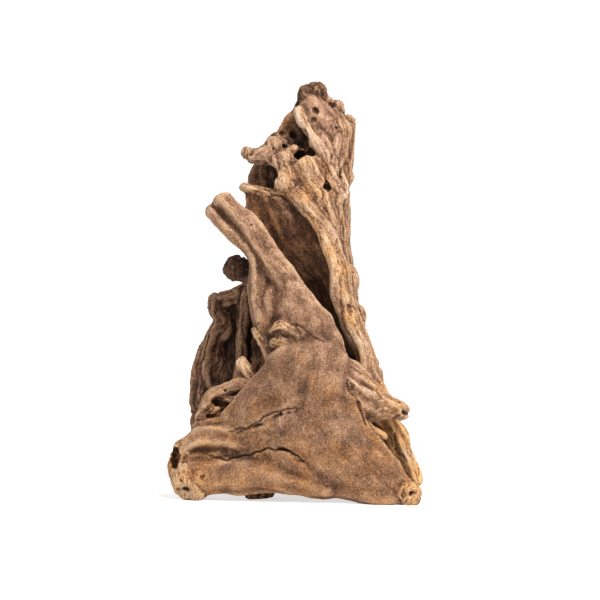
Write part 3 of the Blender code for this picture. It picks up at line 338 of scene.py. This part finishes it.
def setInputs(node, values):
    # a value is a number, an object or another node's socket
    for key, value in values.items():
        if isinstance(key, int):
            socket = node.inputs[key]
        else:
            socket = next(s for s in node.inputs if s.name == key and s.enabled)
        if isinstance(value, bpy.types.NodeSocket):
            node.id_data.links.new(value, socket)
        else:
            socket.default_value = value


def addNode(tree, kind, values, **settings):
    node = tree.nodes.new(kind)
    for name, value in settings.items():
        setattr(node, name, value)
    setInputs(node, values)
    return node


def firstOutput(node):
    return next(s for s in node.outputs if s.enabled)


def mathNode(tree, operation, *values):
    node = addNode(tree, "ShaderNodeMath", dict(enumerate(values)), operation=operation)
    return node.outputs[0]


def chain(tree, operation, values):
    result = values[0]
    for value in values[1:]:
        result = mathNode(tree, operation, result, value)
    return result


def vectorNode(tree, operation, *values):
    node = addNode(tree, "ShaderNodeVectorMath", dict(enumerate(values)), operation=operation)
    return firstOutput(node)


def parts(tree, vector):
    return addNode(tree, "ShaderNodeSeparateXYZ", {"Vector": vector}).outputs


def joined(tree, *values):
    return addNode(tree, "ShaderNodeCombineXYZ", dict(enumerate(values))).outputs[0]


def noiseNode(tree, vector, scale, detail, roughness):
    node = addNode(tree, "ShaderNodeTexNoise", {"Vector": vector, "Scale": scale, "Detail": detail,
                                                "Roughness": roughness})
    return node.outputs[0]


def scaled(tree, vector, factor):
    node = addNode(tree, "ShaderNodeVectorMath", {"Vector": vector, "Scale": factor}, operation="SCALE")
    return node.outputs[0]


def smoothRows(rows, count):
    # rows of numbers on a smooth curve through the given ones
    known = np.array(rows, float)
    known = np.vstack([2 * known[0] - known[1], known, 2 * known[-1] - known[-2]])
    places = np.linspace(0, len(rows) - 1 - 1e-9, count)
    first = places.astype(int)
    t = (places - first)[:, None]
    a, b, c, d = (known[first + k] for k in range(4))
    return 0.5 * (2 * b + (c - a) * t + (2 * a - 5 * b + 4 * c - d) * t**2
                  + (3 * b - 3 * c + d - a) * t**3)


class Rough:
    # overlapping closed forms in one mesh, each point with its grain and its finish
    def __init__(self):
        self.bm = bmesh.new()
        self.grain = self.bm.verts.layers.float_vector.new("grain")
        self.tone = self.bm.verts.layers.float_vector.new("tone")

    def point(self, place, grain, tone):
        vert = self.bm.verts.new(place)
        vert[self.grain] = grain
        vert[self.tone] = tone
        return vert

    def loft(self, rings, tone):
        made = [[self.point(place, grain, tone) for place, grain in ring] for ring in rings]
        sides = len(made[0])
        for low, high in zip(made, made[1:]):
            for k in range(sides):
                after = (k + 1) % sides
                self.bm.faces.new((low[k], low[after], high[after], high[k]))
        for ring in (made[0], made[-1]):
            self.bm.faces.new(ring)

    def ring(self, centre, across, out, thickness, bulge, along, seed, fluted, faceted=0.0):
        ring = []
        halfSide = math.pi / wood["corners"][seed % len(wood["corners"])]
        turn = seed + along * mm * wood["twist"]
        for k in range(wood["sides"]):
            angle = 2 * math.pi * k / wood["sides"]
            flat = (angle + turn) % (2 * halfSide) - halfSide
            reach = 1 + faceted * (math.cos(halfSide) / math.cos(flat) - 1)
            side, depth = math.cos(angle) * reach, math.sin(angle) * reach
            place = across * side + out * thickness * depth
            shift = Vector((seed, -seed, along / wood["fluteLength"]))
            spot = place / (wood["fluteWidth"] * mm) + shift
            height = min(wood["fluteHeight"] * mm, wood["fluteShare"] * place.length) * fluted
            flute = place.normalized() * height * (wood["fluteCrest"] - 2 * abs(noise.noise(spot)))
            grain = place / mm + Vector((wood["grainShift"] * seed, -wood["grainShift"] * seed, along))
            ring.append((centre + place + flute + out * bulge * (1 - side * side), grain))
        return ring

    def dome(self, rings, reach):
        # the rings, with a rounded end at either side
        def end(ring, inner, size, sign):
            middle = sum((p for p, grain in ring), Vector()) / len(ring)
            away = (middle - sum((p for p, grain in inner), Vector()) / len(inner)).normalized() * size
            made = []
            for turn in wood["endTurns"]:
                shift = Vector((0, 0, sign * size * math.sin(turn) / mm))
                made.append([(middle + (p - middle) * math.cos(turn) + away * math.sin(turn), g + shift)
                             for p, g in ring])
            return made
        first = end(rings[0], rings[1], reach[0], -1)
        return first[::-1] + rings + end(rings[-1], rings[-2], reach[1], 1)

    def sweep(self, rows, middles, measures, reach, seed, tone, *forms):
        # rings along a path, each with the width, front, thickness and bulge that measures gives
        rings = []
        far = 0.0
        for k, row in enumerate(rows):
            along = middles[min(k + 1, len(rows) - 1)] - middles[max(k - 1, 0)]
            if k:
                far += (middles[k] - middles[k - 1]).length / mm
            rings.append(self.ring(middles[k], *measures(row, along), far, seed, *forms))
        self.loft(self.dome(rings, reach), tone)

    def limb(self, stations, seed, tone, fluted=1.0):
        def measures(row, along):
            across = along.cross(viewer).normalized()
            return across * row[3] * mm, across.cross(along).normalized(), row[4] * mm, 0.0

        rows = smoothRows(stations, wood["ringsPerStation"] * len(stations))
        reach = [s[4] * mm * wood["limbEnd"] for s in (stations[0], stations[-1])]
        self.sweep(rows, [Vector(row[:3]) * mm for row in rows], measures, reach, seed, tone,
                   fluted, wood["faceted"])

    def sheet(self, stations, seed, tone, fluted):
        def measures(row, along):
            across = (Vector(row[3:6]) - Vector(row[:3])) / 2 * mm
            out = across.cross(along).normalized()
            if out.dot(viewer) < 0:
                out = -out
            return across, out, row[6] * mm, row[7] * mm

        flat = [(*left, *right, thick, bulge) for left, right, thick, bulge in stations]
        rows = smoothRows(flat, wood["ringsPerStation"] * len(flat))
        middles = [Vector((row[:3] + row[3:6]) / 2) * mm for row in rows]
        reach = [s[2] * mm for s in (stations[0], stations[-1])]
        self.sweep(rows, middles, measures, reach, seed, tone, fluted)

    def block(self, middle, size, tone):
        # a knob or a hollow with flat facets, turned by where it sits
        place = Matrix.Translation(Vector(middle) * mm) @ Matrix.Diagonal((*(Vector(size) * mm), 1.0))
        place = place @ Euler(middle).to_matrix().to_4x4()
        made = bmesh.ops.create_icosphere(self.bm, subdivisions=wood["knobSteps"], radius=1.0,
                                          matrix=place)
        for vert in made["verts"]:
            vert[self.grain] = vert.co / mm
            vert[self.tone] = tone

    def bend(self, gnarls):
        # so that nothing stays straight or round
        noise.seed_set(wood["gnarlSeed"])
        for vert in self.bm.verts:
            place = vert.co.copy()
            for size, height in gnarls:
                vert.co += noise.noise_vector(place / (size * mm)) * height * mm

    def finished(self, name):
        bmesh.ops.translate(self.bm, verts=self.bm.verts, vec=toFrame)
        bmesh.ops.recalc_face_normals(self.bm, faces=self.bm.faces)
        mesh = bpy.data.meshes.new(name)
        self.bm.to_mesh(mesh)
        self.bm.free()
        return linked(name, mesh)


def linked(name, data):
    obj = bpy.data.objects.new(name, data)
    bpy.context.scene.collection.objects.link(obj)
    return obj


def discard(*objs):
    for obj in objs:
        mesh = obj.data
        bpy.data.objects.remove(obj)
        bpy.data.meshes.remove(mesh)


def evaluatedMesh(obj):
    graph = bpy.context.evaluated_depsgraph_get()
    return bpy.data.meshes.new_from_object(obj.evaluated_get(graph), preserve_all_data_layers=True,
                                           depsgraph=graph)


def roughForms():
    rough = Rough()
    for seed, (name, (finish, stations)) in enumerate(limbs.items()):
        rough.limb(stations, seed, finishes[finish], smoothSkin.get(name, 1.0))
    for seed, (name, (finish, stations)) in enumerate(sheets.items(), len(limbs)):
        rough.sheet(stations, seed, finishes[finish], smoothSkin.get(name, 1.0))
    for finish, *numbers in knobs.values():
        rough.block(numbers[:3], numbers[3:], finishes[finish])
    rough.bend(wood["gnarls"])
    return rough.finished("roughForms")


def cutForms():
    rough = Rough()
    for numbers in hollows.values():
        rough.block(numbers[:3], numbers[3:], finishes["heart"])
    for seed, stations in enumerate(creases.values()):
        rough.limb(stations, seed, finishes["heart"])
    rough.bend(wood["gnarls"] + wood["cutGnarls"])
    return rough.finished("cutForms")


def addRemesh(obj, name, cell):
    remesh = obj.modifiers.new(name, "REMESH")
    remesh.mode = "VOXEL"
    remesh.voxel_size = cell


def addEase(obj, name, times):
    ease = obj.modifiers.new(name, "SMOOTH")
    ease.iterations = times


def crackLines():
    # each crack as edges in the plane y = 0, with its width, depth and how far back it reaches
    points, edges, facts = [], [], []
    shape = crackShape
    fine, least = shape["shakesPerMm"], shape["endWidth"]
    for width, depth, reach, path in cracks.values():
        rows = smoothRows(path, shape["stepsPerPoint"] * len(path))
        for k, (x, z) in enumerate(rows):
            shake = noise.noise(Vector((x * fine, z * fine, depth))) * shape["shake"]
            ease = min(1.0, shape["taper"] * k / len(rows),
                       shape["taper"] * (len(rows) - 1 - k) / len(rows))
            if k:
                edges.append((len(points) - 1, len(points)))
            points.append((x * mm + toFrame[0], 0.0, (z + shake) * mm))
            facts.append((width * (least + (1 - least) * ease), depth * ease, reach))
    mesh = bpy.data.meshes.new("crackLines")
    mesh.from_pydata(points, edges, [])
    layer = mesh.attributes.new("crackFacts", "FLOAT_VECTOR", "POINT")
    layer.data.foreach_set("vector", np.array(facts, float).ravel())
    return linked("crackLines", mesh)


# the relief's inputs, in millimetres
reliefInputs = {
    "Splinter Width": 5.2, "Splinter Length": 30.0, "Splinter Height": 1.5,  # torn strips
    "Chip Width": 2.3, "Chip Length": 11.0, "Chip Height": 0.5,
    "Grain Width": 2.6, "Grain Length": 30.0, "Grain Height": 0.5,
    "Fibre Width": 0.9, "Fibre Length": 14.0, "Fibre Height": 0.16,
    "Lump Size": 11.0, "Lump Height": 0.7, "Bark Size": 2.2, "Bark Height": 0.12,
    "Hole Spacing": 11.0, "Hole Radius": 0.85, "Hole Depth": 1.5,  # insect holes
    "Seed": 4.0,
}

carving = {
    "finishBlur": 14,  # rounds that soften the edge between two finishes
    "bendScale": 120.0, "splinterBend": 1.4, "grainBend": 1.6, "fibreBend": 2.0,
    "grooveWidth": 0.12, "grooveDepth": -0.25,  # between two splinters
    "leastSplinters": 0.03, "smoothWood": -0.12,  # what is less weathered than this has almost none
    "grainAnywhere": 0.12, "fibresAnywhere": 0.1,
    "crest": 0.1, "crestScale": 4.0,
    "lumpNoise": (2.0, 0.5), "grainNoise": (2.0, 0.55), "fibreNoise": (1.0, 0.5),
    "barkNoise": (2.0, 0.6), "bendNoise": (1.0, 0.5),  # detail and roughness
    "holeCore": 0.45,  # the flat part of a hole
    "facing": -0.1,  # cracks only show on what faces the viewer more than this
    "standOutRounds": (5, 40, 160),  # how far round a point is compared, from close to far
}


def reliefTree(material):
    tree = bpy.data.node_groups.new("woodRelief", "GeometryNodeTree")
    face = tree.interface
    face.new_socket("Geometry", in_out="OUTPUT", socket_type="NodeSocketGeometry")
    face.new_socket("Geometry", in_out="INPUT", socket_type="NodeSocketGeometry")
    for name in ("Rough Forms", "Crack Lines"):
        face.new_socket(name, in_out="INPUT", socket_type="NodeSocketObject")
    for name in reliefInputs:
        face.new_socket(name, in_out="INPUT", socket_type="NodeSocketFloat")
    given = tree.nodes.new("NodeGroupInput").outputs
    last = tree.nodes.new("NodeGroupOutput")

    def attribute(name, kind="FLOAT_VECTOR"):
        node = addNode(tree, "GeometryNodeInputNamedAttribute", {"Name": name}, data_type=kind)
        return firstOutput(node)

    def store(geometry, name, value, kind="FLOAT_VECTOR"):
        node = addNode(tree, "GeometryNodeStoreNamedAttribute",
                       {"Geometry": geometry, "Name": name, "Value": value},
                       data_type=kind, domain="POINT")
        return node.outputs[0]

    def blurred(value, rounds):
        node = addNode(tree, "GeometryNodeBlurAttribute", {"Value": value, "Iterations": rounds},
                       data_type="FLOAT_VECTOR")
        return firstOutput(node)

    def noiseOf(vector, key):
        return noiseNode(tree, vector, 1.0, *carving[key])

    def offsetBy(geometry, height):
        normal = tree.nodes.new("GeometryNodeInputNormal").outputs[0]
        node = addNode(tree, "GeometryNodeSetPosition",
                       {"Geometry": geometry, "Offset": scaled(tree, normal, height)})
        return node.outputs[0]

    def times(*values):
        return chain(tree, "MULTIPLY", values)

    def plus(*values):
        return chain(tree, "ADD", values)

    def fallOff(value, start, end):
        node = addNode(tree, "ShaderNodeMapRange",
                       {"Value": value, "From Min": start, "From Max": end, "To Min": 1.0,
                        "To Max": 0.0}, interpolation_type="SMOOTHSTEP")
        return node.outputs[0]

    position = tree.nodes.new("GeometryNodeInputPosition").outputs[0]
    normal = tree.nodes.new("GeometryNodeInputNormal").outputs[0]

    def meshOf(name):
        return addNode(tree, "GeometryNodeObjectInfo", {"Object": given[name]}).outputs["Geometry"]

    roughMesh = meshOf("Rough Forms")

    def nearest(name):
        node = addNode(tree, "GeometryNodeSampleNearestSurface",
                       {"Mesh": roughMesh, "Value": attribute(name)}, data_type="FLOAT_VECTOR")
        return firstOutput(node)

    # grain and finish come from the nearest rough form
    skin = store(given["Geometry"], "grain", nearest("grain"))
    skin = store(skin, "tone", nearest("tone"))
    skin = store(skin, "tone", blurred(attribute("tone"), carving["finishBlur"]))
    weathered = parts(tree, attribute("tone"))[2]

    # coordinates in millimetres, drawn out along the grain
    def along(width, length, extra):
        width, length = given[width], given[length]
        grain = parts(tree, attribute("grain"))
        bend = noiseOf(scaled(tree, position, carving["bendScale"]), "bendNoise")
        x = plus(mathNode(tree, "DIVIDE", grain[0], width), times(bend, carving[extra]), given["Seed"])
        return joined(tree, x, mathNode(tree, "DIVIDE", grain[1], width),
                      mathNode(tree, "DIVIDE", grain[2], length))

    millimetres = scaled(tree, position, 1 / mm)

    def evenly(name):
        return vectorNode(tree, "DIVIDE", millimetres, joined(tree, *[given[name]] * 3))

    lumps = noiseOf(evenly("Lump Size"), "lumpNoise")
    grainRidges = noiseOf(along("Grain Width", "Grain Length", "grainBend"), "grainNoise")
    fibres = noiseOf(along("Fibre Width", "Fibre Length", "fibreBend"), "fibreNoise")
    barkSpots = noiseOf(evenly("Bark Size"), "barkNoise")

    # splinters: long cells, each at a height of its own, with a narrow groove between them
    def splinters(width, length, height):
        place = along(width, length, "splinterBend")
        cells = addNode(tree, "ShaderNodeTexVoronoi", {"Vector": place, "Scale": 1.0})
        edge = addNode(tree, "ShaderNodeTexVoronoi", {"Vector": place, "Scale": 1.0},
                       feature="DISTANCE_TO_EDGE").outputs["Distance"]
        step = parts(tree, cells.outputs["Color"])[0]
        groove = fallOff(edge, 0.0, carving["grooveWidth"])
        both = plus(mathNode(tree, "SUBTRACT", step, 0.5), times(groove, carving["grooveDepth"]))
        share = mathNode(tree, "MAXIMUM", carving["leastSplinters"],
                         plus(weathered, carving["smoothWood"]))
        return times(both, given[height], mm, share)

    def centred(value, height):
        return times(mathNode(tree, "SUBTRACT", value, 0.5), 2.0, height, mm)

    def crested(value, height):
        slope = mathNode(tree, "ABSOLUTE", mathNode(tree, "SUBTRACT", value, 0.5))
        return times(mathNode(tree, "SUBTRACT", carving["crest"], slope), carving["crestScale"],
                     height, mm)

    height = plus(centred(lumps, given["Lump Height"]),
                  splinters("Splinter Width", "Splinter Length", "Splinter Height"),
                  splinters("Chip Width", "Chip Length", "Chip Height"),
                  times(crested(grainRidges, given["Grain Height"]),
                        plus(weathered, carving["grainAnywhere"])),
                  times(centred(fibres, given["Fibre Height"]),
                        plus(weathered, carving["fibresAnywhere"])),
                  centred(barkSpots, given["Bark Height"]))
    skin = offsetBy(skin, height)

    # insect holes: balls round scattered points, deepest in weathered wood
    cells = addNode(tree, "ShaderNodeTexVoronoi", {"Vector": evenly("Hole Spacing"), "Scale": 1.0})
    away = times(cells.outputs["Distance"], given["Hole Spacing"])
    core = times(given["Hole Radius"], carving["holeCore"])
    hole = times(fallOff(away, core, given["Hole Radius"]), weathered)
    skin = store(skin, "hole", hole, "FLOAT")
    skin = offsetBy(skin, times(attribute("hole", "FLOAT"), given["Hole Depth"], -mm))

    # cracks: seen from the front, so the distance is taken in the plane y = 0
    crackMesh = meshOf("Crack Lines")
    flatPlace = vectorNode(tree, "MULTIPLY", position, (1.0, 0.0, 1.0))
    near = addNode(tree, "GeometryNodeProximity",
                   {"Geometry": crackMesh, "Sample Position": flatPlace}, target_element="EDGES")
    closest = addNode(tree, "GeometryNodeSampleNearest",
                      {"Geometry": crackMesh, "Sample Position": flatPlace}, domain="POINT")
    facts = addNode(tree, "GeometryNodeSampleIndex", {
        "Geometry": crackMesh, "Value": attribute("crackFacts"), "Index": closest.outputs[0]},
        data_type="FLOAT_VECTOR", domain="POINT")
    factParts = parts(tree, firstOutput(facts))
    placeParts = parts(tree, position)
    normalParts = parts(tree, normal)
    inFront = mathNode(tree, "LESS_THAN", placeParts[1], times(factParts[2], mm))
    facing = mathNode(tree, "LESS_THAN", normalParts[1], carving["facing"])
    crack = times(fallOff(mathNode(tree, "DIVIDE", near.outputs["Distance"], times(factParts[0], mm)),
                          0.0, 1.0), inFront, facing)
    skin = store(skin, "crack", times(crack, factParts[1]), "FLOAT")
    skin = offsetBy(skin, times(attribute("crack", "FLOAT"), -mm))

    # how far each point stands out of its surroundings, close by and further round
    def standsOut(rounds):
        inward = vectorNode(tree, "SUBTRACT", position, blurred(position, rounds))
        dot = addNode(tree, "ShaderNodeVectorMath", {0: inward, 1: normal}, operation="DOT_PRODUCT")
        return times(dot.outputs["Value"], 1 / mm)

    # stored as 'worn': the material lightens what stands out, as wear, and darkens what lies in a hollow,
    # as painted shade
    worn = joined(tree, *[standsOut(rounds) for rounds in carving["standOutRounds"]])
    skin = store(skin, "worn", worn)

    # the feet stay on the floor
    level = mathNode(tree, "MAXIMUM", placeParts[2], 0.0)
    skin = addNode(tree, "GeometryNodeSetPosition", {
        "Geometry": skin, "Position": joined(tree, placeParts[0], placeParts[1], level)}).outputs[0]

    skin = addNode(tree, "GeometryNodeRealizeInstances", {"Geometry": skin}).outputs[0]
    skin = addNode(tree, "GeometryNodeSetMaterial", {"Geometry": skin, "Material": material}).outputs[0]
    setInputs(last, {"Geometry": skin})
    return tree


def giveInputs(modifier, tree, values):
    for socket in tree.interface.items_tree:
        if socket.in_out == "INPUT" and socket.name in values:
            modifier[socket.identifier] = values[socket.name]


def makeDriftwood(material):
    rough = roughForms()
    cutters = cutForms()
    lines = crackLines()
    print("rough forms:", len(rough.data.polygons), "faces")
    addRemesh(cutters, "join", wood["hollowCell"])
    skin = linked("skin", rough.data.copy())
    addRemesh(skin, "fuse", wood["fuseCell"])
    addEase(skin, "ease", wood["fuseEase"])
    cut = skin.modifiers.new("hollows", "BOOLEAN")
    cut.operation = "DIFFERENCE"
    cut.object = cutters
    cut.solver = "MANIFOLD"
    addRemesh(skin, "even", wood["skinCell"])
    addEase(skin, "easeHollows", wood["hollowEase"])
    fused = linked("fused", evaluatedMesh(skin))
    print("fused skin:", len(fused.data.polygons), "faces")

    tree = reliefTree(material)
    relief = fused.modifiers.new("relief", "NODES")
    relief.node_group = tree
    giveInputs(relief, tree, {"Rough Forms": rough, "Crack Lines": lines, **reliefInputs})
    thin = fused.modifiers.new("thin", "DECIMATE")
    thin.ratio = min(1.0, wood["mostTriangles"] / (2.0 * len(fused.data.polygons)))
    piece = linked("driftwoodPiece", evaluatedMesh(fused))
    piece.data.validate()  # drops the few faces that thinning left double
    discard(skin, cutters, rough, lines, fused)
    print("carved and weathered:", len(piece.data.polygons), "faces")
    piece.data.shade_smooth()
    return piece


woodLook = {
    # 'hollow' is the near black of painted shade in cracks and holes, and the ramp's darkest stop
    "hollow": (0.014, 0.006, 0.003, 1), "dark": (0.072, 0.033, 0.016, 1),
    "middle": (0.245, 0.126, 0.067, 1), "light": (0.50, 0.315, 0.185, 1),
    # the red-brown tint below is painted shade for deep hollows
    "bleached": (0.76, 0.61, 0.44, 1), "shadeTint": (0.33, 0.12, 0.045, 1),
    "golden": (1.18, 0.98, 0.66, 1), "greyer": (1.0, 0.93, 1.02, 1),
    "stops": ((0.0, "hollow"), (0.24, "dark"), (0.48, "middle"), (0.72, "light"), (1.0, "bleached")),
    "base": 0.40, "finishShare": 0.14,
    "close": (0.15, 0.11), "further": (0.9, 0.09), "far": (2.6, 0.06),  # height in mm, and its share
    "streak": (1.6, 16.0), "fineStreak": (0.5, 7.0),  # width and length
    "streakNoise": (1.0, 4.0, 0.6), "fineStreakNoise": (1.0, 2.0, 0.6),
    "streakShare": (0.30, 0.08), "fineStreakShare": (0.60, 0.08),  # where weathered, and anywhere
    "patches": (42.0, 3.0, 0.55), "patchShare": 0.2,
    "mottle": (650.0, 3.0, 0.65), "mottleShare": 0.30,
    "specks": (1500.0, 2.0, 0.7), "speckShare": 0.85,
    "warmPatches": (75.0, 3.0, 0.6), "warmShare": 2.8, "warmFull": 0.8,
    "lowWarmth": 0.35, "highWarmth": -0.2, "low": 0.015, "high": 0.075,  # golden near the floor
    # painted shade: the hollows' darker, redder tint, from this depth to that
    "shadeTintFrom": -0.6, "shadeTintTo": -2.6, "shadeTintShare": 0.35,
    # painted shade: cracks and insect holes drawn near black
    "crack": (0.1, 0.7), "crackShadeShare": 0.8, "hole": (0.2, 0.9), "holeShadeShare": 0.85,
    "roughness": 0.82, "shine": 0.28,
    "bumpFibre": 0.35, "fibreDepth": 0.0006, "bumpSpeck": 0.3, "speckDepth": 0.0004,
}


def woodMaterial():
    look = woodLook
    material = bpy.data.materials.new("weatheredWood")
    material.use_nodes = True
    tree = material.node_tree
    shader = tree.nodes["Principled BSDF"]

    def attribute(name):
        node = tree.nodes.new("ShaderNodeAttribute")
        node.attribute_name = name
        return node

    def noiseOf(vector, key):
        return noiseNode(tree, vector, *look[key])

    def ranged(value, low, high, toLow=0.0, toHigh=1.0):
        node = addNode(tree, "ShaderNodeMapRange", {"Value": value, "From Min": low, "From Max": high,
                                                     "To Min": toLow, "To Max": toHigh})
        return node.outputs[0]

    def mixed(factor, first, second, blend="MIX"):
        node = addNode(tree, "ShaderNodeMix", {"Factor": factor, "A": first, "B": second},
                       data_type="RGBA", blend_type=blend)
        return firstOutput(node)

    def times(*values):
        return chain(tree, "MULTIPLY", values)

    def plus(*values):
        return chain(tree, "ADD", values)

    place = tree.nodes.new("ShaderNodeTexCoord").outputs["Object"]
    grain = attribute("grain").outputs["Vector"]
    tone = parts(tree, attribute("tone").outputs["Vector"])
    lightness, warmth, weathered = tone[0], tone[1], tone[2]
    worn = parts(tree, attribute("worn").outputs["Vector"])
    crack = attribute("crack").outputs["Fac"]
    hole = attribute("hole").outputs["Fac"]

    def drawn(width, length):
        scale = (1 / width, 1 / width, 1 / length)
        return addNode(tree, "ShaderNodeMapping", {"Vector": grain, "Scale": scale}).outputs[0]

    def offMiddle(value):
        return mathNode(tree, "SUBTRACT", value, 0.5)

    def standing(part, key):
        reach, share = look[key]
        return times(ranged(part, -reach, reach, -1.0, 1.0), share)

    streaks = noiseOf(drawn(*look["streak"]), "streakNoise")
    fineStreaks = noiseOf(drawn(*look["fineStreak"]), "fineStreakNoise")
    patches, mottle, specks = (noiseOf(place, key) for key in ("patches", "mottle", "specks"))

    def streakShare(key):
        inWeathered, anywhere = look[key]
        return plus(times(weathered, inWeathered), anywhere)

    # one value from dark to bleached, which a ramp then colours; what stands out of its surroundings is
    # lighter, as wear on edges, and what lies lower than its surroundings is darker, as painted shade
    value = plus(
        look["base"],
        times(lightness, look["finishShare"]),
        standing(worn[0], "close"), standing(worn[1], "further"), standing(worn[2], "far"),
        times(offMiddle(streaks), streakShare("streakShare")),
        times(offMiddle(fineStreaks), streakShare("fineStreakShare")),
        times(offMiddle(patches), look["patchShare"]),
        times(offMiddle(mottle), look["mottleShare"]),
        times(offMiddle(specks), look["speckShare"]))
    ramp = addNode(tree, "ShaderNodeValToRGB", {"Fac": value})
    while len(ramp.color_ramp.elements) < len(look["stops"]):
        ramp.color_ramp.elements.new(0.5)
    for stop, (at, name) in zip(ramp.color_ramp.elements, look["stops"]):
        stop.position = at
        stop.color = look[name]
    colour = ramp.outputs[0]

    # greyer and golden areas
    warmPatches = noiseOf(place, "warmPatches")
    height = parts(tree, place)[2]
    lowDown = ranged(height, look["low"], look["high"], look["lowWarmth"], look["highWarmth"])
    warmHere = plus(warmth, lowDown, times(offMiddle(warmPatches), look["warmShare"]))
    golden = mixed(1.0, colour, look["golden"], "MULTIPLY")
    greyer = mixed(1.0, colour, look["greyer"], "MULTIPLY")
    colour = mixed(ranged(warmHere, 0.0, look["warmFull"]), colour, golden)
    colour = mixed(ranged(warmHere, 0.0, -look["warmFull"]), colour, greyer)

    # painted shade: darker and redder deep in the hollows, and near black in cracks and holes
    paintedHollowShade = ranged(worn[2], look["shadeTintFrom"], look["shadeTintTo"], 0.0, look["shadeTintShare"])
    colour = mixed(paintedHollowShade, colour, look["shadeTint"], "MULTIPLY")
    colour = mixed(ranged(crack, *look["crack"], 0.0, look["crackShadeShare"]), colour, look["hollow"])
    colour = mixed(ranged(hole, *look["hole"], 0.0, look["holeShadeShare"]), colour, look["hollow"])
    setInputs(shader, {"Base Color": colour, "Roughness": look["roughness"]})
    shader.inputs["Specular IOR Level"].default_value = look["shine"]

    grit = addNode(tree, "ShaderNodeBump", {"Strength": look["bumpSpeck"],
                                            "Distance": look["speckDepth"], "Height": specks})
    fibre = addNode(tree, "ShaderNodeBump", {
        "Strength": look["bumpFibre"], "Distance": look["fibreDepth"],
        "Height": plus(streaks, fineStreaks), "Normal": grit.outputs[0]})
    setInputs(shader, {"Normal": fibre.outputs[0]})
    return material


studio = {
    "aim": (toFrame[0], toFrame[1], 0.0955), "distance": 1.2, "elevation": 2.5, "frameWidth": 0.3,
    "sensorWidth": 36.0, "farthest": 20.0,
    "floorRadius": 4.0, "floorRings": 48, "floorSides": 96, "flatPart": 1.4, "wallHeight": 2.6,
    "floorColour": (0.86, 0.86, 0.86, 1), "floorRoughness": 0.9, "floorGlow": 0.6,
    "floorBounce": 0.05,
    "keyPlace": (0.5, -0.75, 1.1), "keySize": 0.4, "keyPower": 23.5,
    "fillPlace": (-0.9, -0.8, 0.5), "fillSize": 0.9, "fillPower": 2.0,
    "skyStrength": 0.4,
}


def forCamera(tree, otherwise, seen):
    # one value for what the camera sees, and another for the light thrown on the wood
    ray = addNode(tree, "ShaderNodeLightPath", {}).outputs["Is Camera Ray"]
    return addNode(tree, "ShaderNodeMapRange",
                   {"Value": ray, "To Min": otherwise, "To Max": seen}).outputs[0]


def makeFloor():
    # a round floor whose far edge curves up into a wall
    bm = bmesh.new()
    sides = studio["floorSides"]
    rings = []
    for k in range(studio["floorRings"] + 1):
        radius = studio["floorRadius"] * k / studio["floorRings"]
        climb = max(0.0, radius - studio["flatPart"]) / (studio["floorRadius"] - studio["flatPart"])
        height = studio["wallHeight"] * climb**2
        turns = [2 * math.pi * n / sides for n in range(sides)]
        places = [(radius * math.cos(a), radius * math.sin(a), height) for a in turns]
        rings.append([bm.verts.new(place) for place in places])
    for inner, outer in zip(rings, rings[1:]):
        for k in range(sides):
            after = (k + 1) % sides
            bm.faces.new((inner[k], outer[k], outer[after], inner[after]))
    bmesh.ops.remove_doubles(bm, verts=bm.verts, dist=0.0001)
    mesh = bpy.data.meshes.new("floor")
    bm.to_mesh(mesh)
    bm.free()
    material = bpy.data.materials.new("paleFloor")
    material.use_nodes = True
    shader = material.node_tree.nodes["Principled BSDF"]
    shader.inputs["Base Color"].default_value = studio["floorColour"]
    shader.inputs["Roughness"].default_value = studio["floorRoughness"]
    shader.inputs["Emission Color"].default_value = (1, 1, 1, 1)
    glow = forCamera(material.node_tree, studio["floorBounce"], studio["floorGlow"])
    setInputs(shader, {"Emission Strength": glow})
    mesh.materials.append(material)
    mesh.shade_smooth()
    return linked("floor", mesh)


def lookAt(obj, place, aim):
    obj.location = place
    obj.rotation_mode = "QUATERNION"
    obj.rotation_quaternion = (Vector(place) - Vector(aim)).to_track_quat("Z", "Y")


def makeLight(name, place, size, power):
    light = bpy.data.lights.new(name, "AREA")
    light.size = size
    light.energy = power
    lookAt(linked(name, light), place, studio["aim"])


def makeStudio():
    scene = bpy.context.scene
    camera = linked("camera", bpy.data.cameras.new("camera"))
    tilt = math.radians(studio["elevation"])
    away = Vector((0.0, -math.cos(tilt), math.sin(tilt))) * studio["distance"]
    lookAt(camera, Vector(studio["aim"]) + away, studio["aim"])
    camera.data.sensor_width = studio["sensorWidth"]
    camera.data.lens = studio["sensorWidth"] * studio["distance"] / studio["frameWidth"]
    camera.data.clip_end = studio["farthest"]
    scene.camera = camera
    makeLight("key", studio["keyPlace"], studio["keySize"], studio["keyPower"])
    makeLight("fill", studio["fillPlace"], studio["fillSize"], studio["fillPower"])
    world = bpy.data.worlds.new("studio")
    world.use_nodes = True
    scene.world = world
    background = world.node_tree.nodes["Background"]
    strength = forCamera(world.node_tree, studio["skyStrength"], 1.0)
    setInputs(background, {"Color": (1, 1, 1, 1), "Strength": strength})
    scene.view_settings.view_transform = "Standard"
    makeFloor()
    print("studio set")


driftwood = makeDriftwood(woodMaterial())
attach(driftwood, "root")
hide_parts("driftwood")
makeStudio()
